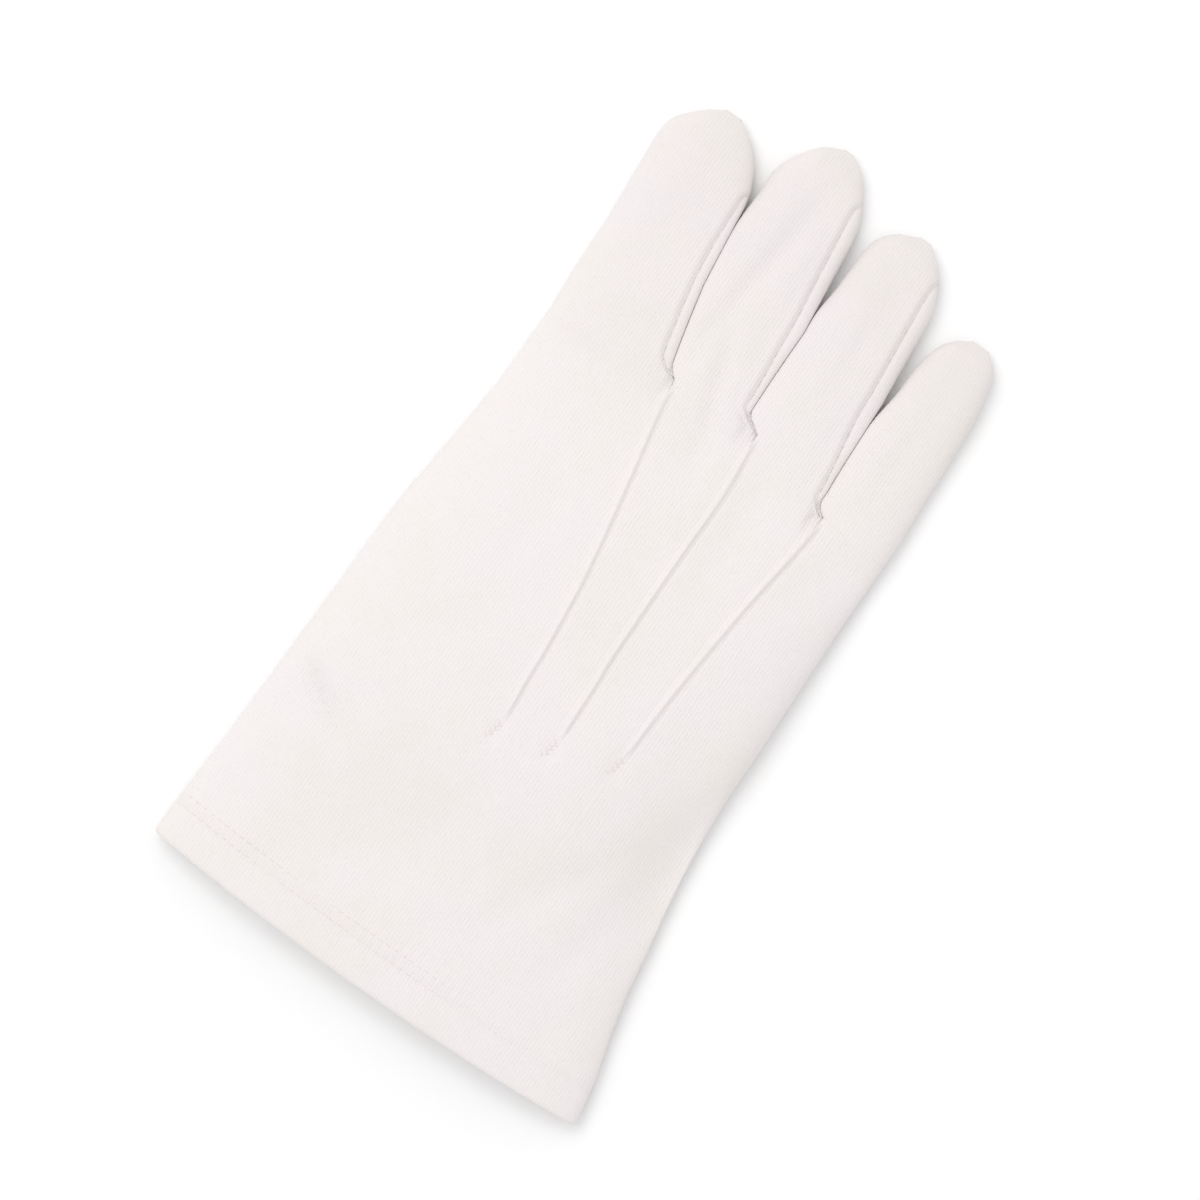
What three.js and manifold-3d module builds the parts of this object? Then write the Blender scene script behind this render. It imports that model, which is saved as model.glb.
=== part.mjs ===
// A right-hand cotton glove lying flat with its back up and its thumb folded under the palm.
// Millimetres, +Z up, +Y towards the fingertips, +X towards the little finger. The origin is on the
// surface that the glove lies on, at the middle of the wrist.
import * as THREE from "three";
import { mergeVertices } from "three/addons/utils/BufferGeometryUtils.js";
import Module from "manifold-3d";

const wasm = await Module();
wasm.setup();

// Driving sizes of the cloth
const CLOTH = 1.2; // thickness of the knitted cotton
const SEAM_GAP = 0.3; // clearance between pieces that are sewn together

// Driving sizes of the hand, seen from above
const HAND_LENGTH = 168; // cuff edge to the knuckle line, where the fingers part
const WRIST_FROM_CUFF = 40; // cuff edge to the origin
const CUFF_WIDTH = 130;
const CUFF_BOW = 2.5; // how far the middle of the cuff edge stands out past its corners
const PALM_WIDTH = 112;
const PALM_MIDDLE = -6.8; // sideways from the middle of the cuff
const KNUCKLE_MIDDLE = -5.5; // sideways from the middle of the cuff
const HEM_LENGTH = 11.5; // width of the cloth turned in at the cuff

// Driving sizes of the hollow, between palm and back
const HAND_ROOM = 6.4; // over the thumb
const CUFF_ROOM = 5.2;
const FINGER_ROOM = 6.2;
const THUMB_ROOM = 4.6;

// Driving sizes of the fingers, seen from above
const FINGER_REACH = 74; // knuckle line to the tip of the longest finger
const FINGER_WIDTH = 27;
const FINGER_GAP = 0.7; // between the roots of two fingers
const FINGER_ROOT = 20; // how far a finger runs into the hand below the knuckle line
const ROOT_SINK = 0.4; // how far its underside runs up into the palm's cloth over that length
const CROTCH_SPREAD = 5; // how far two fingers run into each other over that length

// Driving sizes of the fourchettes, the side strips between the fingers
const FOURCHETTE_SHOW = 4.4; // what shows of it from above
const FOURCHETTE_UNDER = 3.2; // what turns under the finger
const FOURCHETTE_DEPTH = 6; // how far it reaches into the hand below a crotch
const FOURCHETTE_STOP = 15; // from its end to the fingertip

// Driving sizes of the thumb, which lies flat under the palm
const THUMB_LENGTH = 84; // rear of its root to its tip
const THUMB_ROOT_WIDTH = 32;
const THUMB_TIP_WIDTH = 26;
const THUMB_SLANT = 12; // degrees from the fingers' direction towards the little finger
const THUMB_FROM_CUFF = 50.4; // cuff edge to the rear of its root
const THUMB_HOLE_LENGTH = 38;
const THUMB_HOLE_WIDTH = 22;
const THUMB_BLUNT = 0.6; // power that turns its width at the ends into its height
const DRAPE = 13; // width of the palm's slope from the top of the thumb down to the floor

// Driving sizes of the three points, the raised tucks on the back
const TUCK_WIDTH = 2.4;
const TUCK_HEIGHT = 1.2;

// Points of a tuck's section. across is a share of its width, up of its height over the back.
const TUCK_SECTION = [
  { across: -0.5, up: 0 },
  { across: -0.36, up: 0.72 },
  { across: 0, up: 1 },
  { across: 0.36, up: 0.72 },
  { across: 0.5, up: 0 },
];
const TUCK_STEPS = 12;
const TUCK_BEND = 1.6; // power that turns a place along a tuck into its share of the way sideways
const TUCK_END = 0.3; // what a tuck keeps of its height at its wrist end
const TUCK_RISE = 5; // shares of its full height that it gains over its whole length

// A row for each finger. reach and lean (of the tip, sideways) are shares of the longest finger's
// reach; base, mid and end (widths at the root, halfway and near the tip) are shares of the finger
// width; corner and round (lengths of the tip's corner on the index side and of its round on the
// other) are shares of the end width.
const FINGERS = [
  { name: "index", reach: 0.88, lean: -0.085, base: 1.3, mid: 1.11, end: 1.07, corner: 0.32, round: 0.55 },
  { name: "middle", reach: 1.0, lean: -0.094, base: 0.81, mid: 1.04, end: 1.0, corner: 0.5, round: 0.56 },
  { name: "ring", reach: 0.9, lean: -0.035, base: 0.97, mid: 0.99, end: 0.885, corner: 0.34, round: 0.6 },
  { name: "little", reach: 0.71, lean: -0.02, base: 0.81, mid: 0.785, end: 0.74, corner: 0.42, round: 0.56 },
];

// A row for each crotch, where two fingers part, with the tuck that starts there. up is its height
// above the knuckle line as a share of the longest finger's reach, end the place of the tuck's wrist
// end from the middle of the palm as a share of its half width, long the tuck's length as a share of
// the hand's length.
const CROTCHES = [
  { up: 0.02, end: -0.03, long: 0.53 },
  { up: 0.06, end: 0.23, long: 0.51 },
  { up: -0.047, end: 0.52, long: 0.43 },
];

// A row for each section of the hand. along is a share of the hand's length, flare a share of the way
// from the palm's width to the cuff's, taper from the palm's width to the knuckles', rise from the
// cuff's height to the hand's and fall from there down to the fingers'.
const HAND_SECTIONS = [
  { along: 0.0, flare: 1.0, taper: 0.0, rise: 0.0, fall: 0 },
  { along: 0.075, flare: 0.84, taper: 0.0, rise: 0.02, fall: 0 },
  { along: 0.14, flare: 0.64, taper: 0.0, rise: 0.08, fall: 0 },
  { along: 0.21, flare: 0.47, taper: 0.0, rise: 0.25, fall: 0 },
  { along: 0.28, flare: 0.35, taper: 0.0, rise: 0.55, fall: 0 },
  { along: 0.34, flare: 0.23, taper: 0.0, rise: 0.84, fall: 0 },
  { along: 0.4, flare: 0.13, taper: 0.0, rise: 1.0, fall: 0 },
  { along: 0.47, flare: 0.05, taper: 0.0, rise: 1.0, fall: 0 },
  { along: 0.54, flare: 0.0, taper: 0.0, rise: 1.0, fall: 0 },
  { along: 0.61, flare: 0.0, taper: 0.05, rise: 1.0, fall: 0.02 },
  { along: 0.67, flare: 0.0, taper: 0.3, rise: 1.0, fall: 0.08 },
  { along: 0.73, flare: 0.0, taper: 0.56, rise: 1.0, fall: 0.18 },
  { along: 0.79, flare: 0.0, taper: 0.8, rise: 1.0, fall: 0.36 },
  { along: 0.85, flare: 0.0, taper: 1.0, rise: 1.0, fall: 0.6 },
  { along: 0.9, flare: 0.0, taper: 1.0, rise: 1.0, fall: 0.85 },
  { along: 0.94, flare: 0.0, taper: 1.0, rise: 1.0, fall: 1.05 },
  { along: 0.97, flare: 0.0, taper: 1.0, rise: 1.0, fall: 1.3 },
];

// A row for each soft dent of the back. x and wide are shares of the palm's half width, y and long of
// the hand's length, depth of the hand's height.
const DENTS = [
  { x: 0.78, y: 0.4, wide: 0.34, long: 0.13, depth: 0.1 },
  { x: -0.82, y: 0.32, wide: 0.24, long: 0.06, depth: 0.08 },
  { x: -0.1, y: 0.2, wide: 0.4, long: 0.08, depth: 0.04 },
];

// Shape of the fingers, as shares
const LEAN_BEND = 0.75; // power that turns a finger's place into its share of the lean
const FINGER_FALL = 0.08; // how much lower a finger is at its tip than at its root
const TIP_FLAT = 0.2; // what a fingertip keeps of its width at its very end
const TIP_ROUND = 2.4; // roundness of a fingertip from the side
const CORNER_SLANT = 0.8; // power that turns a place along a tip's corner into its width

// Shape of the fourchettes, as shares of their full width
const FOURCHETTE_OPEN = 0.55; // at the crotch
const FOURCHETTE_CLOSE = 0.5; // at the fingertip

// Shape of the sections: roundness of the upper and lower half, and how many steps each has
const UPPER_ROUND = 3;
const LOWER_ROUND = 6;
const FLAT_FROM = 0.95; // a lower half that comes this near the floor lies on it
const HAND_STEPS = { upper: 14, lower: 18 };
const FINGER_STEPS = { upper: 8, lower: 7 };

const mix = THREE.MathUtils.lerp;
const smooth = THREE.MathUtils.smoothstep;

// Heights that follow from the hollows
const sideHeight = 2.5 * CLOTH; // floor to the glove's widest line, where back and palm are sewn
const tipHalf = 1.3 * CLOTH; // half the height of a fingertip at its very end
const fingerHeight = FINGER_ROOM + 2 * CLOTH;
const thumbHeight = THUMB_ROOM + 2 * CLOTH;
const palmLift = thumbHeight + SEAM_GAP;
const handHeight = palmLift + HAND_ROOM + 2 * CLOTH;
const hemInset = CLOTH + SEAM_GAP;
const cuffHeight = CUFF_ROOM + 2 * (hemInset + CLOTH);

// Widths that follow from the fingers lying side by side
const halfCuff = CUFF_WIDTH / 2;
const halfPalm = PALM_WIDTH / 2;
const rootWidths = FINGERS.reduce((sum, finger) => sum + finger.base * FINGER_WIDTH, 0);
const halfKnuckles = (rootWidths + (FINGERS.length - 1) * FINGER_GAP) / 2;

// Value of a named column of a table at a place along it, straight between two rows
function column(rows, name, along) {
  const next = rows.findIndex((row) => row.along > along);
  if (next === 0) return rows[0][name];
  if (next < 0) return rows[rows.length - 1][name];
  const [a, b] = [rows[next - 1], rows[next]];
  return mix(a[name], b[name], (along - a.along) / (b.along - a.along));
}

// Height of a rounded section over its widest line, as a share, at a share of its half width
function bulge(share, roundness) {
  const flatness = Math.max(0, 1 - Math.pow(Math.min(1, Math.abs(share)), roundness));
  return Math.pow(flatness, 1 / roundness);
}

// A solid lofted through rings with the same number of points, closed flat at both ends. Each ring
// runs clockwise when seen from the first one towards the last.
function loft(rings) {
  const n = rings[0].length;
  const positions = rings.flat(2);
  const faces = [];
  for (let r = 0; r + 1 < rings.length; r++) {
    for (let i = 0; i < n; i++) {
      const a = r * n + i;
      const b = r * n + ((i + 1) % n);
      faces.push(a, b, b + n, a, b + n, a + n);
    }
  }
  for (const end of [0, rings.length - 1]) {
    const centre = positions.length / 3;
    positions.push(...[0, 1, 2].map((k) => rings[end].reduce((sum, p) => sum + p[k] / n, 0)));
    for (let i = 0; i < n; i++) {
      const a = end * n + i;
      const b = end * n + ((i + 1) % n);
      faces.push(...(end === 0 ? [centre, b, a] : [centre, a, b]));
    }
  }
  const raw = new THREE.BufferGeometry();
  raw.setAttribute("position", new THREE.Float32BufferAttribute(positions, 3));
  raw.setIndex(faces);
  const merged = mergeVertices(raw, 1e-4);
  const vertProperties = merged.attributes.position.array;
  const triVerts = new Uint32Array(merged.index.array);
  return new wasm.Manifold(new wasm.Mesh({ numProp: 3, vertProperties, triVerts }));
}

// Ring of a soft tube that lies on the floor, from its section: its place y along the glove, its left
// and right edge, its lowest and highest line, and the height of its widest line
function ring({ y, left, right, low, high, side }, steps) {
  const middle = (left + right) / 2;
  const half = (right - left) / 2;
  const points = [];
  for (let i = 0; i < steps.upper; i++) {
    const share = -Math.cos((Math.PI * i) / steps.upper);
    points.push([middle + half * share, y, side + (high - side) * bulge(share, UPPER_ROUND)]);
  }
  for (let i = 0; i < steps.lower; i++) {
    const even = 1 - (2 * i) / steps.lower;
    const share = mix(even, Math.sin((Math.PI * even) / 2), 0.5);
    const drop = bulge(share, LOWER_ROUND);
    points.push([middle + half * share, y, mix(side, low, drop > FLAT_FROM ? 1 : drop)]);
  }
  return points;
}

// The section pulled in by a distance all round, for the inner side of a wall
function inset(section, by) {
  const { left, right, low, high } = section;
  return { ...section, left: left + by, right: right - by, low: low + by, high: high - by };
}

// Thumb: its own frame has the rear of the root at the origin and the tip along +Y
const thumbTurn = new THREE.Matrix4()
  .makeTranslation(PALM_MIDDLE - halfPalm + DRAPE + THUMB_ROOT_WIDTH / 2, THUMB_FROM_CUFF, 0)
  .multiply(new THREE.Matrix4().makeRotationZ(-THREE.MathUtils.degToRad(THUMB_SLANT)));
const thumbBack = thumbTurn.clone().invert();

function thumbHalfWidth(y) {
  return mix(THUMB_ROOT_WIDTH, THUMB_TIP_WIDTH, y / THUMB_LENGTH) / 2;
}

// How far a point of the floor plan lies outside the thumb's outline
function outsideThumb(x, y) {
  const point = new THREE.Vector3(x, y, 0).applyMatrix4(thumbBack);
  const along = THREE.MathUtils.clamp(
    point.y,
    THUMB_ROOT_WIDTH / 2,
    THUMB_LENGTH - THUMB_TIP_WIDTH / 2,
  );
  return Math.hypot(point.x, point.y - along) - thumbHalfWidth(along);
}

// How far the thumb lifts the palm off the floor
function lift(x, y) {
  return palmLift * (1 - smooth(outsideThumb(x, y), 2 * CLOTH, DRAPE));
}

// How much more of the palm's cloth a plumb line meets on that slope, as a share
function steepness(x, y) {
  const step = CLOTH / 2;
  const across = (lift(x + step, y) - lift(x - step, y)) / (2 * step);
  const along = (lift(x, y + step) - lift(x, y - step)) / (2 * step);
  return Math.hypot(1, across, along) - 1;
}

// How far the dents press the back down
function dent(x, y) {
  return DENTS.reduce((sum, row) => {
    const across = (x - PALM_MIDDLE - row.x * halfPalm) / (row.wide * halfPalm);
    const along = (y - row.y * HAND_LENGTH) / (row.long * HAND_LENGTH);
    return sum + row.depth * handHeight * Math.exp(-(across * across + along * along));
  }, 0);
}

// How far the cuff edge bows out, which fades away towards the wrist
function bow(x, y) {
  const share = Math.min(1, Math.abs(x) / halfCuff);
  return CUFF_BOW * (1 - share * share) * (1 - smooth(y, 0, WRIST_FROM_CUFF));
}

// Settles a ring that lies a distance inside the cloth: the lower half over the thumb, the upper
// half into the dents
function settle(points, by = 0) {
  return points.map(([x, y, z]) => {
    const lower = z < sideHeight ? lift(x, y) + by * steepness(x, y) : 0;
    const upper = smooth(z, sideHeight, sideHeight + 3 * CLOTH) * dent(x, y);
    return [x, y - bow(x, y), z + lower - upper];
  });
}

// Section of the hand at a place along it
function handSection(y) {
  const at = (name) => column(HAND_SECTIONS, name, y / HAND_LENGTH);
  const [flare, taper] = [at("flare"), at("taper")];
  const half = mix(mix(halfPalm, halfCuff, flare), halfKnuckles, taper);
  const middle = mix(mix(PALM_MIDDLE, 0, flare), KNUCKLE_MIDDLE, taper);
  const high = mix(mix(cuffHeight, handHeight, at("rise")), fingerHeight, at("fall"));
  return { y, left: middle - half, right: middle + half, low: 0, high, side: sideHeight };
}

function handTube(places, by) {
  return loft(places.map((y) => settle(ring(inset(handSection(y), by), HAND_STEPS), by)));
}

// Fingers with their real sizes; edge gives the left (-1) or right (+1) edge at a place along it
let rootLeft = KNUCKLE_MIDDLE - halfKnuckles;
const fingers = FINGERS.map((row) => {
  const [base, mid, end] = [row.base, row.mid, row.end].map((share) => share * FINGER_WIDTH);
  const [reach, lean] = [row.reach * FINGER_REACH, row.lean * FINGER_REACH];
  const [corner, round] = [row.corner * end, row.round * end];
  const root = rootLeft + base / 2;
  rootLeft += base + FINGER_GAP;
  const edge = (y, side) => {
    const share = THREE.MathUtils.clamp((y - HAND_LENGTH) / (reach - round), 0, 1);
    const width = share < 0.5 ? mix(base, mid, 2 * share) : mix(mid, end, 2 * share - 1);
    return root + lean * Math.pow(share, LEAN_BEND) + (side * width) / 2;
  };
  return { name: row.name, tip: HAND_LENGTH + reach, corner, round, edge };
});
const crotches = CROTCHES.map((row) => HAND_LENGTH + row.up * FINGER_REACH);

// How far a finger's edge reaches past its root's edge: into the neighbour below their crotch, and
// back from the hand's edge on the glove's two sides
function spread(crotch, y) {
  if (crotch === undefined) return (3 * ROOT_SINK * Math.min(0, y - HAND_LENGTH)) / FINGER_ROOT;
  const below = (crotch - y) / FINGER_ROOT;
  return below > 0 ? FINGER_GAP / 2 + CROTCH_SPREAD * below : 0;
}

// Section of a finger at a place along it, before a tip at a given place
function fingerSection(i, y, tip) {
  const finger = fingers[i];
  const [left, right] = [finger.edge(y, -1), finger.edge(y, 1)];
  const half = (right - left) / 2;
  const toCorner = Math.min(1, (tip - y) / finger.corner);
  const toRound = Math.min(1, (tip - y) / finger.round);
  const full = bulge(1 - toRound, TIP_ROUND);
  const along = Math.max(0, y - HAND_LENGTH) / FINGER_REACH;
  const sunk = (ROOT_SINK * Math.max(0, HAND_LENGTH - y)) / FINGER_ROOT;
  const leftHalf = half * mix(TIP_FLAT, 1, Math.pow(toCorner, CORNER_SLANT));
  const rightHalf = half * mix(TIP_FLAT, 1, bulge(1 - toRound, 2));
  return {
    y,
    left: left + half - leftHalf - spread(crotches[i - 1], y),
    right: right - half + rightHalf + spread(crotches[i], y),
    low: mix(sideHeight - tipHalf, sunk, full),
    high: mix(sideHeight + tipHalf, fingerHeight * (1 - FINGER_FALL * along), full),
    side: sideHeight,
  };
}

// Places of a finger's sections: its root, the partings beside it, its length and its rounded tip
function fingerPlaces(i, by) {
  const finger = fingers[i];
  const beside = [crotches[i - 1], crotches[i]].filter((y) => y !== undefined);
  const start = HAND_LENGTH - FINGER_ROOT + by;
  const tip = finger.tip - by;
  const first = Math.max(...beside) + FINGER_GAP;
  const length = [0.12, 0.3, 0.5, 0.75].map((share) => mix(first, tip - finger.round, share));
  const round = [1, 0.68, 0.42, 0.22, 0.09, 0.015].map((share) => tip - share * finger.round);
  return [start, ...beside, ...length, ...round].sort((a, b) => a - b);
}

function fingerTube(i, by) {
  const tip = fingers[i].tip - by;
  const sections = fingerPlaces(i, by).map((y) => inset(fingerSection(i, y, tip), by));
  return loft(sections.map((section) => settle(ring(section, FINGER_STEPS), by)));
}

// The two runs of a fourchette as prisms through the shell: one along the finger on the index side
// of a crotch, where it shows from above, and one along the other finger. grow widens both.
function fourchetteCut(i, grow) {
  const [near, far] = [fingers[i], fingers[i + 1]];
  const start = crotches[i] - FOURCHETTE_DEPTH;
  const floor = -2 * CLOTH;
  const top = handHeight + 2 * CLOTH;
  const middle = (y) => (near.edge(y, 1) + far.edge(y, -1)) / 2;
  const run = (tip, outline) => {
    const end = tip - FOURCHETTE_STOP;
    const places = [0, 0.07, 0.15, 0.35, 0.6, 0.8, 1].map((share) => mix(start, end, share));
    return loft(
      places.map((y, k) => {
        const past = k === 0 ? -grow : k === places.length - 1 ? grow : 0;
        const open = mix(FOURCHETTE_OPEN, 1, smooth(y, start, start + 2 * FOURCHETTE_DEPTH));
        const close = mix(FOURCHETTE_CLOSE, 1, smooth(end - y, 0, 2 * FOURCHETTE_STOP));
        return outline(y, open * close).map(([x, z]) => [x, y + past, z]);
      }),
    );
  };
  const nearRun = run(near.tip, (y, width) => [
    [middle(y) + grow, floor],
    [near.edge(y, 1) - FOURCHETTE_UNDER * width - grow, floor],
    [near.edge(y, 1) - FOURCHETTE_SHOW * width - grow, sideHeight],
    [near.edge(y, 1) - FOURCHETTE_SHOW * width - grow, top],
    [middle(y) + grow, top],
  ]);
  const farRun = run(far.tip, (y, width) => [
    [far.edge(y, -1) + FOURCHETTE_UNDER * width + grow, floor],
    [middle(y) - SEAM_GAP, floor],
    [middle(y) - SEAM_GAP, sideHeight + CLOTH + grow],
    [far.edge(y, -1) + FOURCHETTE_UNDER * width + grow, sideHeight + CLOTH + grow],
  ]);
  return nearRun.add(farRun);
}

// Height of the outside of the back over a point of the floor plan, dents left out
function backHeight(x, y) {
  const dome = ({ left, right, high, side }) => {
    const share = (2 * x - left - right) / (right - left);
    return Math.abs(share) > 1 ? 0 : mix(side, high, bulge(share, UPPER_ROUND));
  };
  const roots = fingers.map((finger, i) => dome(fingerSection(i, y, finger.tip)));
  return Math.max(dome(handSection(y)), ...(y > HAND_LENGTH - FINGER_ROOT ? roots : []));
}

// Everything under the seam of back and palm: flat through the walls at the glove's edge, and
// halfway up the hollow elsewhere. Its places across are shares of the half width.
const SEAM_FLAT_FROM = 0.92;
const SEAM_SHARES = [-1.3, -0.95, -0.9, -0.7, -0.35, 0, 0.35, 0.7, 0.9, 0.95, 1.3];

function underSeam(offset) {
  const last = HAND_SECTIONS[HAND_SECTIONS.length - 1].along * HAND_LENGTH;
  const places = [-CUFF_WIDTH / 4, ...HAND_SECTIONS.map((row) => row.along * HAND_LENGTH)];
  places.push(HAND_LENGTH + 2 * FINGER_REACH);
  return loft(
    places.map((y) => {
      const { left, right } = handSection(y);
      const [middle, half] = [(left + right) / 2, (right - left) / 2];
      const crest = SEAM_SHARES.map((share) => {
        const x = middle + half * share;
        const edge = Math.abs(share) > SEAM_FLAT_FROM || y <= 0 || y >= last;
        const high = edge ? sideHeight : (lift(x, y) + backHeight(x, y)) / 2;
        return [x, y, high + offset];
      });
      const ends = [SEAM_SHARES.at(-1), SEAM_SHARES[0]];
      const base = ends.map((share) => [middle + half * share, y, -2 * CLOTH]);
      return [...crest, ...base];
    }),
  );
}

// A raised tuck that runs from a crotch towards the wrist
function tuck(i) {
  const top = crotches[i] - FOURCHETTE_DEPTH - 2 * SEAM_GAP;
  const topX = (fingers[i].edge(top, 1) + fingers[i + 1].edge(top, -1)) / 2;
  const endX = PALM_MIDDLE + CROTCHES[i].end * halfPalm;
  const end = top - CROTCHES[i].long * HAND_LENGTH;
  const rings = [];
  for (let step = 0; step <= TUCK_STEPS; step++) {
    const share = step / TUCK_STEPS;
    const y = mix(end, top, share);
    const x = mix(endX, topX, Math.pow(share, TUCK_BEND));
    const low = backHeight(x, y) - CLOTH / 2;
    const high = low + CLOTH / 2 + TUCK_HEIGHT * Math.min(1, TUCK_END + TUCK_RISE * share);
    rings.push(
      TUCK_SECTION.map(({ across, up }) => [x + across * TUCK_WIDTH, y, mix(low, high, up)]),
    );
  }
  return loft(rings.map((points) => settle(points)));
}

// Thumb tube with rounded ends, turned and laid under the palm
function thumbTube(by) {
  const [first, last] = [by, THUMB_LENGTH - by];
  const [rear, front] = [THUMB_ROOT_WIDTH / 2, THUMB_TIP_WIDTH / 2];
  const ends = [0.015, 0.1, 0.25, 0.55, 1];
  const places = [
    ...ends.map((share) => first + share * rear),
    ...[0.35, 0.65].map((share) => mix(first + rear, last - front, share)),
    ...ends.map((share) => last - share * front).reverse(),
  ];
  const middle = thumbHeight / 2;
  return loft(
    places.map((y) => {
      const toRear = Math.min(1, (y - first) / rear);
      const toFront = Math.min(1, (last - y) / front);
      const full = Math.min(bulge(1 - toRear, 2), bulge(1 - toFront, 2));
      const half = Math.max(CLOTH, (thumbHalfWidth(y) - by) * full);
      const deep = mix(tipHalf, middle, Math.pow(full, THUMB_BLUNT)) - by;
      const section = { y, left: -half, right: half, low: middle - deep, high: middle + deep };
      return ring({ ...section, side: middle }, FINGER_STEPS).map((point) =>
        new THREE.Vector3(...point).applyMatrix4(thumbTurn).toArray(),
      );
    }),
  );
}

// Oval prism through the palm and the upper wall of the thumb
function thumbHole() {
  const sides = 20;
  const outline = [];
  for (let i = 0; i < sides; i++) {
    const turn = (2 * Math.PI * (i + 0.5)) / sides;
    const x = (THUMB_HOLE_WIDTH / 2) * Math.cos(turn);
    const y = THUMB_ROOT_WIDTH / 4 + (THUMB_HOLE_LENGTH / 2) * (1 + Math.sin(turn));
    outline.push([x, y]);
  }
  return loft(
    [thumbHeight / 2, handHeight - HAND_ROOM / 2].map((z) =>
      outline.map(([x, y]) => new THREE.Vector3(x, y, z).applyMatrix4(thumbTurn).toArray()),
    ),
  );
}

// The hem: the fold at the cuff edge and the layer of cloth turned in behind it
function hem() {
  const layer = [0, 0.3, 0.65, 1].map((share) => share * HEM_LENGTH);
  const hollow = [-CLOTH, ...layer, HEM_LENGTH + CLOTH];
  return handTube([0, CLOTH], 0)
    .add(handTube(layer, hemInset))
    .subtract(handTube(hollow, hemInset + CLOTH));
}

// The glove's cloth as one shell
const bodyPlaces = [hemInset, ...HAND_SECTIONS.slice(1).map((row) => row.along * HAND_LENGTH)];
const hollowPlaces = [-CLOTH, ...bodyPlaces.slice(0, -1), bodyPlaces.at(-1) - CLOTH];
const outside = fingers.reduce((sum, _, i) => sum.add(fingerTube(i, 0)), handTube(bodyPlaces, 0));
const inside = fingers.reduce(
  (sum, _, i) => sum.add(fingerTube(i, CLOTH)),
  handTube(hollowPlaces, CLOTH),
);
const shell = outside.subtract(inside);

// The pieces that it is cut into
const hole = thumbHole();
const panels = crotches.reduce((rest, _, i) => rest.subtract(fourchetteCut(i, SEAM_GAP)), shell);
const palm = panels.intersect(underSeam(-SEAM_GAP / 2)).subtract(hole);
const smoothBack = panels.subtract(underSeam(SEAM_GAP / 2));
const back = crotches.reduce((sum, _, i) => sum.add(tuck(i)), smoothBack);
const thumb = thumbTube(0).subtract(thumbTube(CLOTH)).subtract(hole);

const glove = new THREE.Group();
glove.position.y = -WRIST_FROM_CUFF;

// One named piece of cotton in its shade of off-white
function place(name, solid, color) {
  const cut = solid.getMesh();
  const geometry = new THREE.BufferGeometry();
  geometry.setAttribute("position", new THREE.BufferAttribute(cut.vertProperties, 3));
  geometry.setIndex(new THREE.BufferAttribute(cut.triVerts, 1));
  geometry.computeVertexNormals();
  const material = new THREE.MeshStandardMaterial({ color, roughness: 0.95, metalness: 0 });
  const mesh = new THREE.Mesh(geometry, material);
  mesh.name = name;
  glove.add(mesh);
}

place("back", back, 0xf3f0ee);
place("palm", palm, 0xf1eeec);
place("thumb", thumb, 0xf1eeec);
place("cuff_hem", hem(), 0xf4f1ef);
crotches.forEach((_, i) => {
  const name = `fourchette_${fingers[i].name}_${fingers[i + 1].name}`;
  place(name, shell.intersect(fourchetteCut(i, 0)), 0xefecea);
});

export default glove;
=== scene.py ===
"""A right-hand white cotton glove lying flat with its back up, in metres, in the frame of the CAD model."""

import math

import bmesh
import bpy
import numpy as np
from mathutils import Matrix, Vector, noise


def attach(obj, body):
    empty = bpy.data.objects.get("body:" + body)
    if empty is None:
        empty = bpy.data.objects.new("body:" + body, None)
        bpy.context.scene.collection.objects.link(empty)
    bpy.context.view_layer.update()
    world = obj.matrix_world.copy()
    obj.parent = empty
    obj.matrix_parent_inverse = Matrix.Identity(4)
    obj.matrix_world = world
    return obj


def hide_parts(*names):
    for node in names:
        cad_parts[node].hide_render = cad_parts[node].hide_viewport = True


bl_info = {
    "name": "Cotton Glove",
    "version": (1, 0, 0),
    "blender": (4, 5, 0),
    "location": "View3D > Sidebar > Glove",
    "description": "Builds a knitted cotton glove with tucks, fourchettes and a twin-stitched hem",
    "category": "Object",
}

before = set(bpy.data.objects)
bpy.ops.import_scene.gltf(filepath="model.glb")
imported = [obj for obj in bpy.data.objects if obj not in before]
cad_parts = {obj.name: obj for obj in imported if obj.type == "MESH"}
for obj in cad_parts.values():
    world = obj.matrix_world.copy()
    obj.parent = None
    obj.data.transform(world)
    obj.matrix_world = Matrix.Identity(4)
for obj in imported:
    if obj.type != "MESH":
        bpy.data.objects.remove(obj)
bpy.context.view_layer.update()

MM = 0.001
WRIST_FROM_CUFF = 40.0

# Millimetres from here on, y counted from the cuff edge, as the glove is cut
HAND_LENGTH = 168.0
CUFF_WIDTH = 130.0
CUFF_BOW = 2.5
PALM_WIDTH = 112.0
PALM_MIDDLE = -6.8
KNUCKLE_MIDDLE = -5.5
HEM_LENGTH = 11.5
SIDE_HEIGHT = 3.0
FINGER_HEIGHT = 8.6
THUMB_HEIGHT = 7.0
PALM_LIFT = 7.3
HAND_HEIGHT = 16.1
CUFF_HEIGHT = 10.6
FINGER_REACH = 74.0
FINGER_WIDTH = 27.0
FINGER_GAP = 0.7
FOURCHETTE_UNDER = 3.2
THUMB_LENGTH = 84.0
THUMB_ROOT_WIDTH = 32.0
THUMB_TIP_WIDTH = 26.0
THUMB_SLANT = math.radians(12.0)
THUMB_FROM_CUFF = 50.4
DRAPE = 13.0
THUMB_MIDDLE = PALM_MIDDLE - PALM_WIDTH / 2 + DRAPE + THUMB_ROOT_WIDTH / 2

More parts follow.
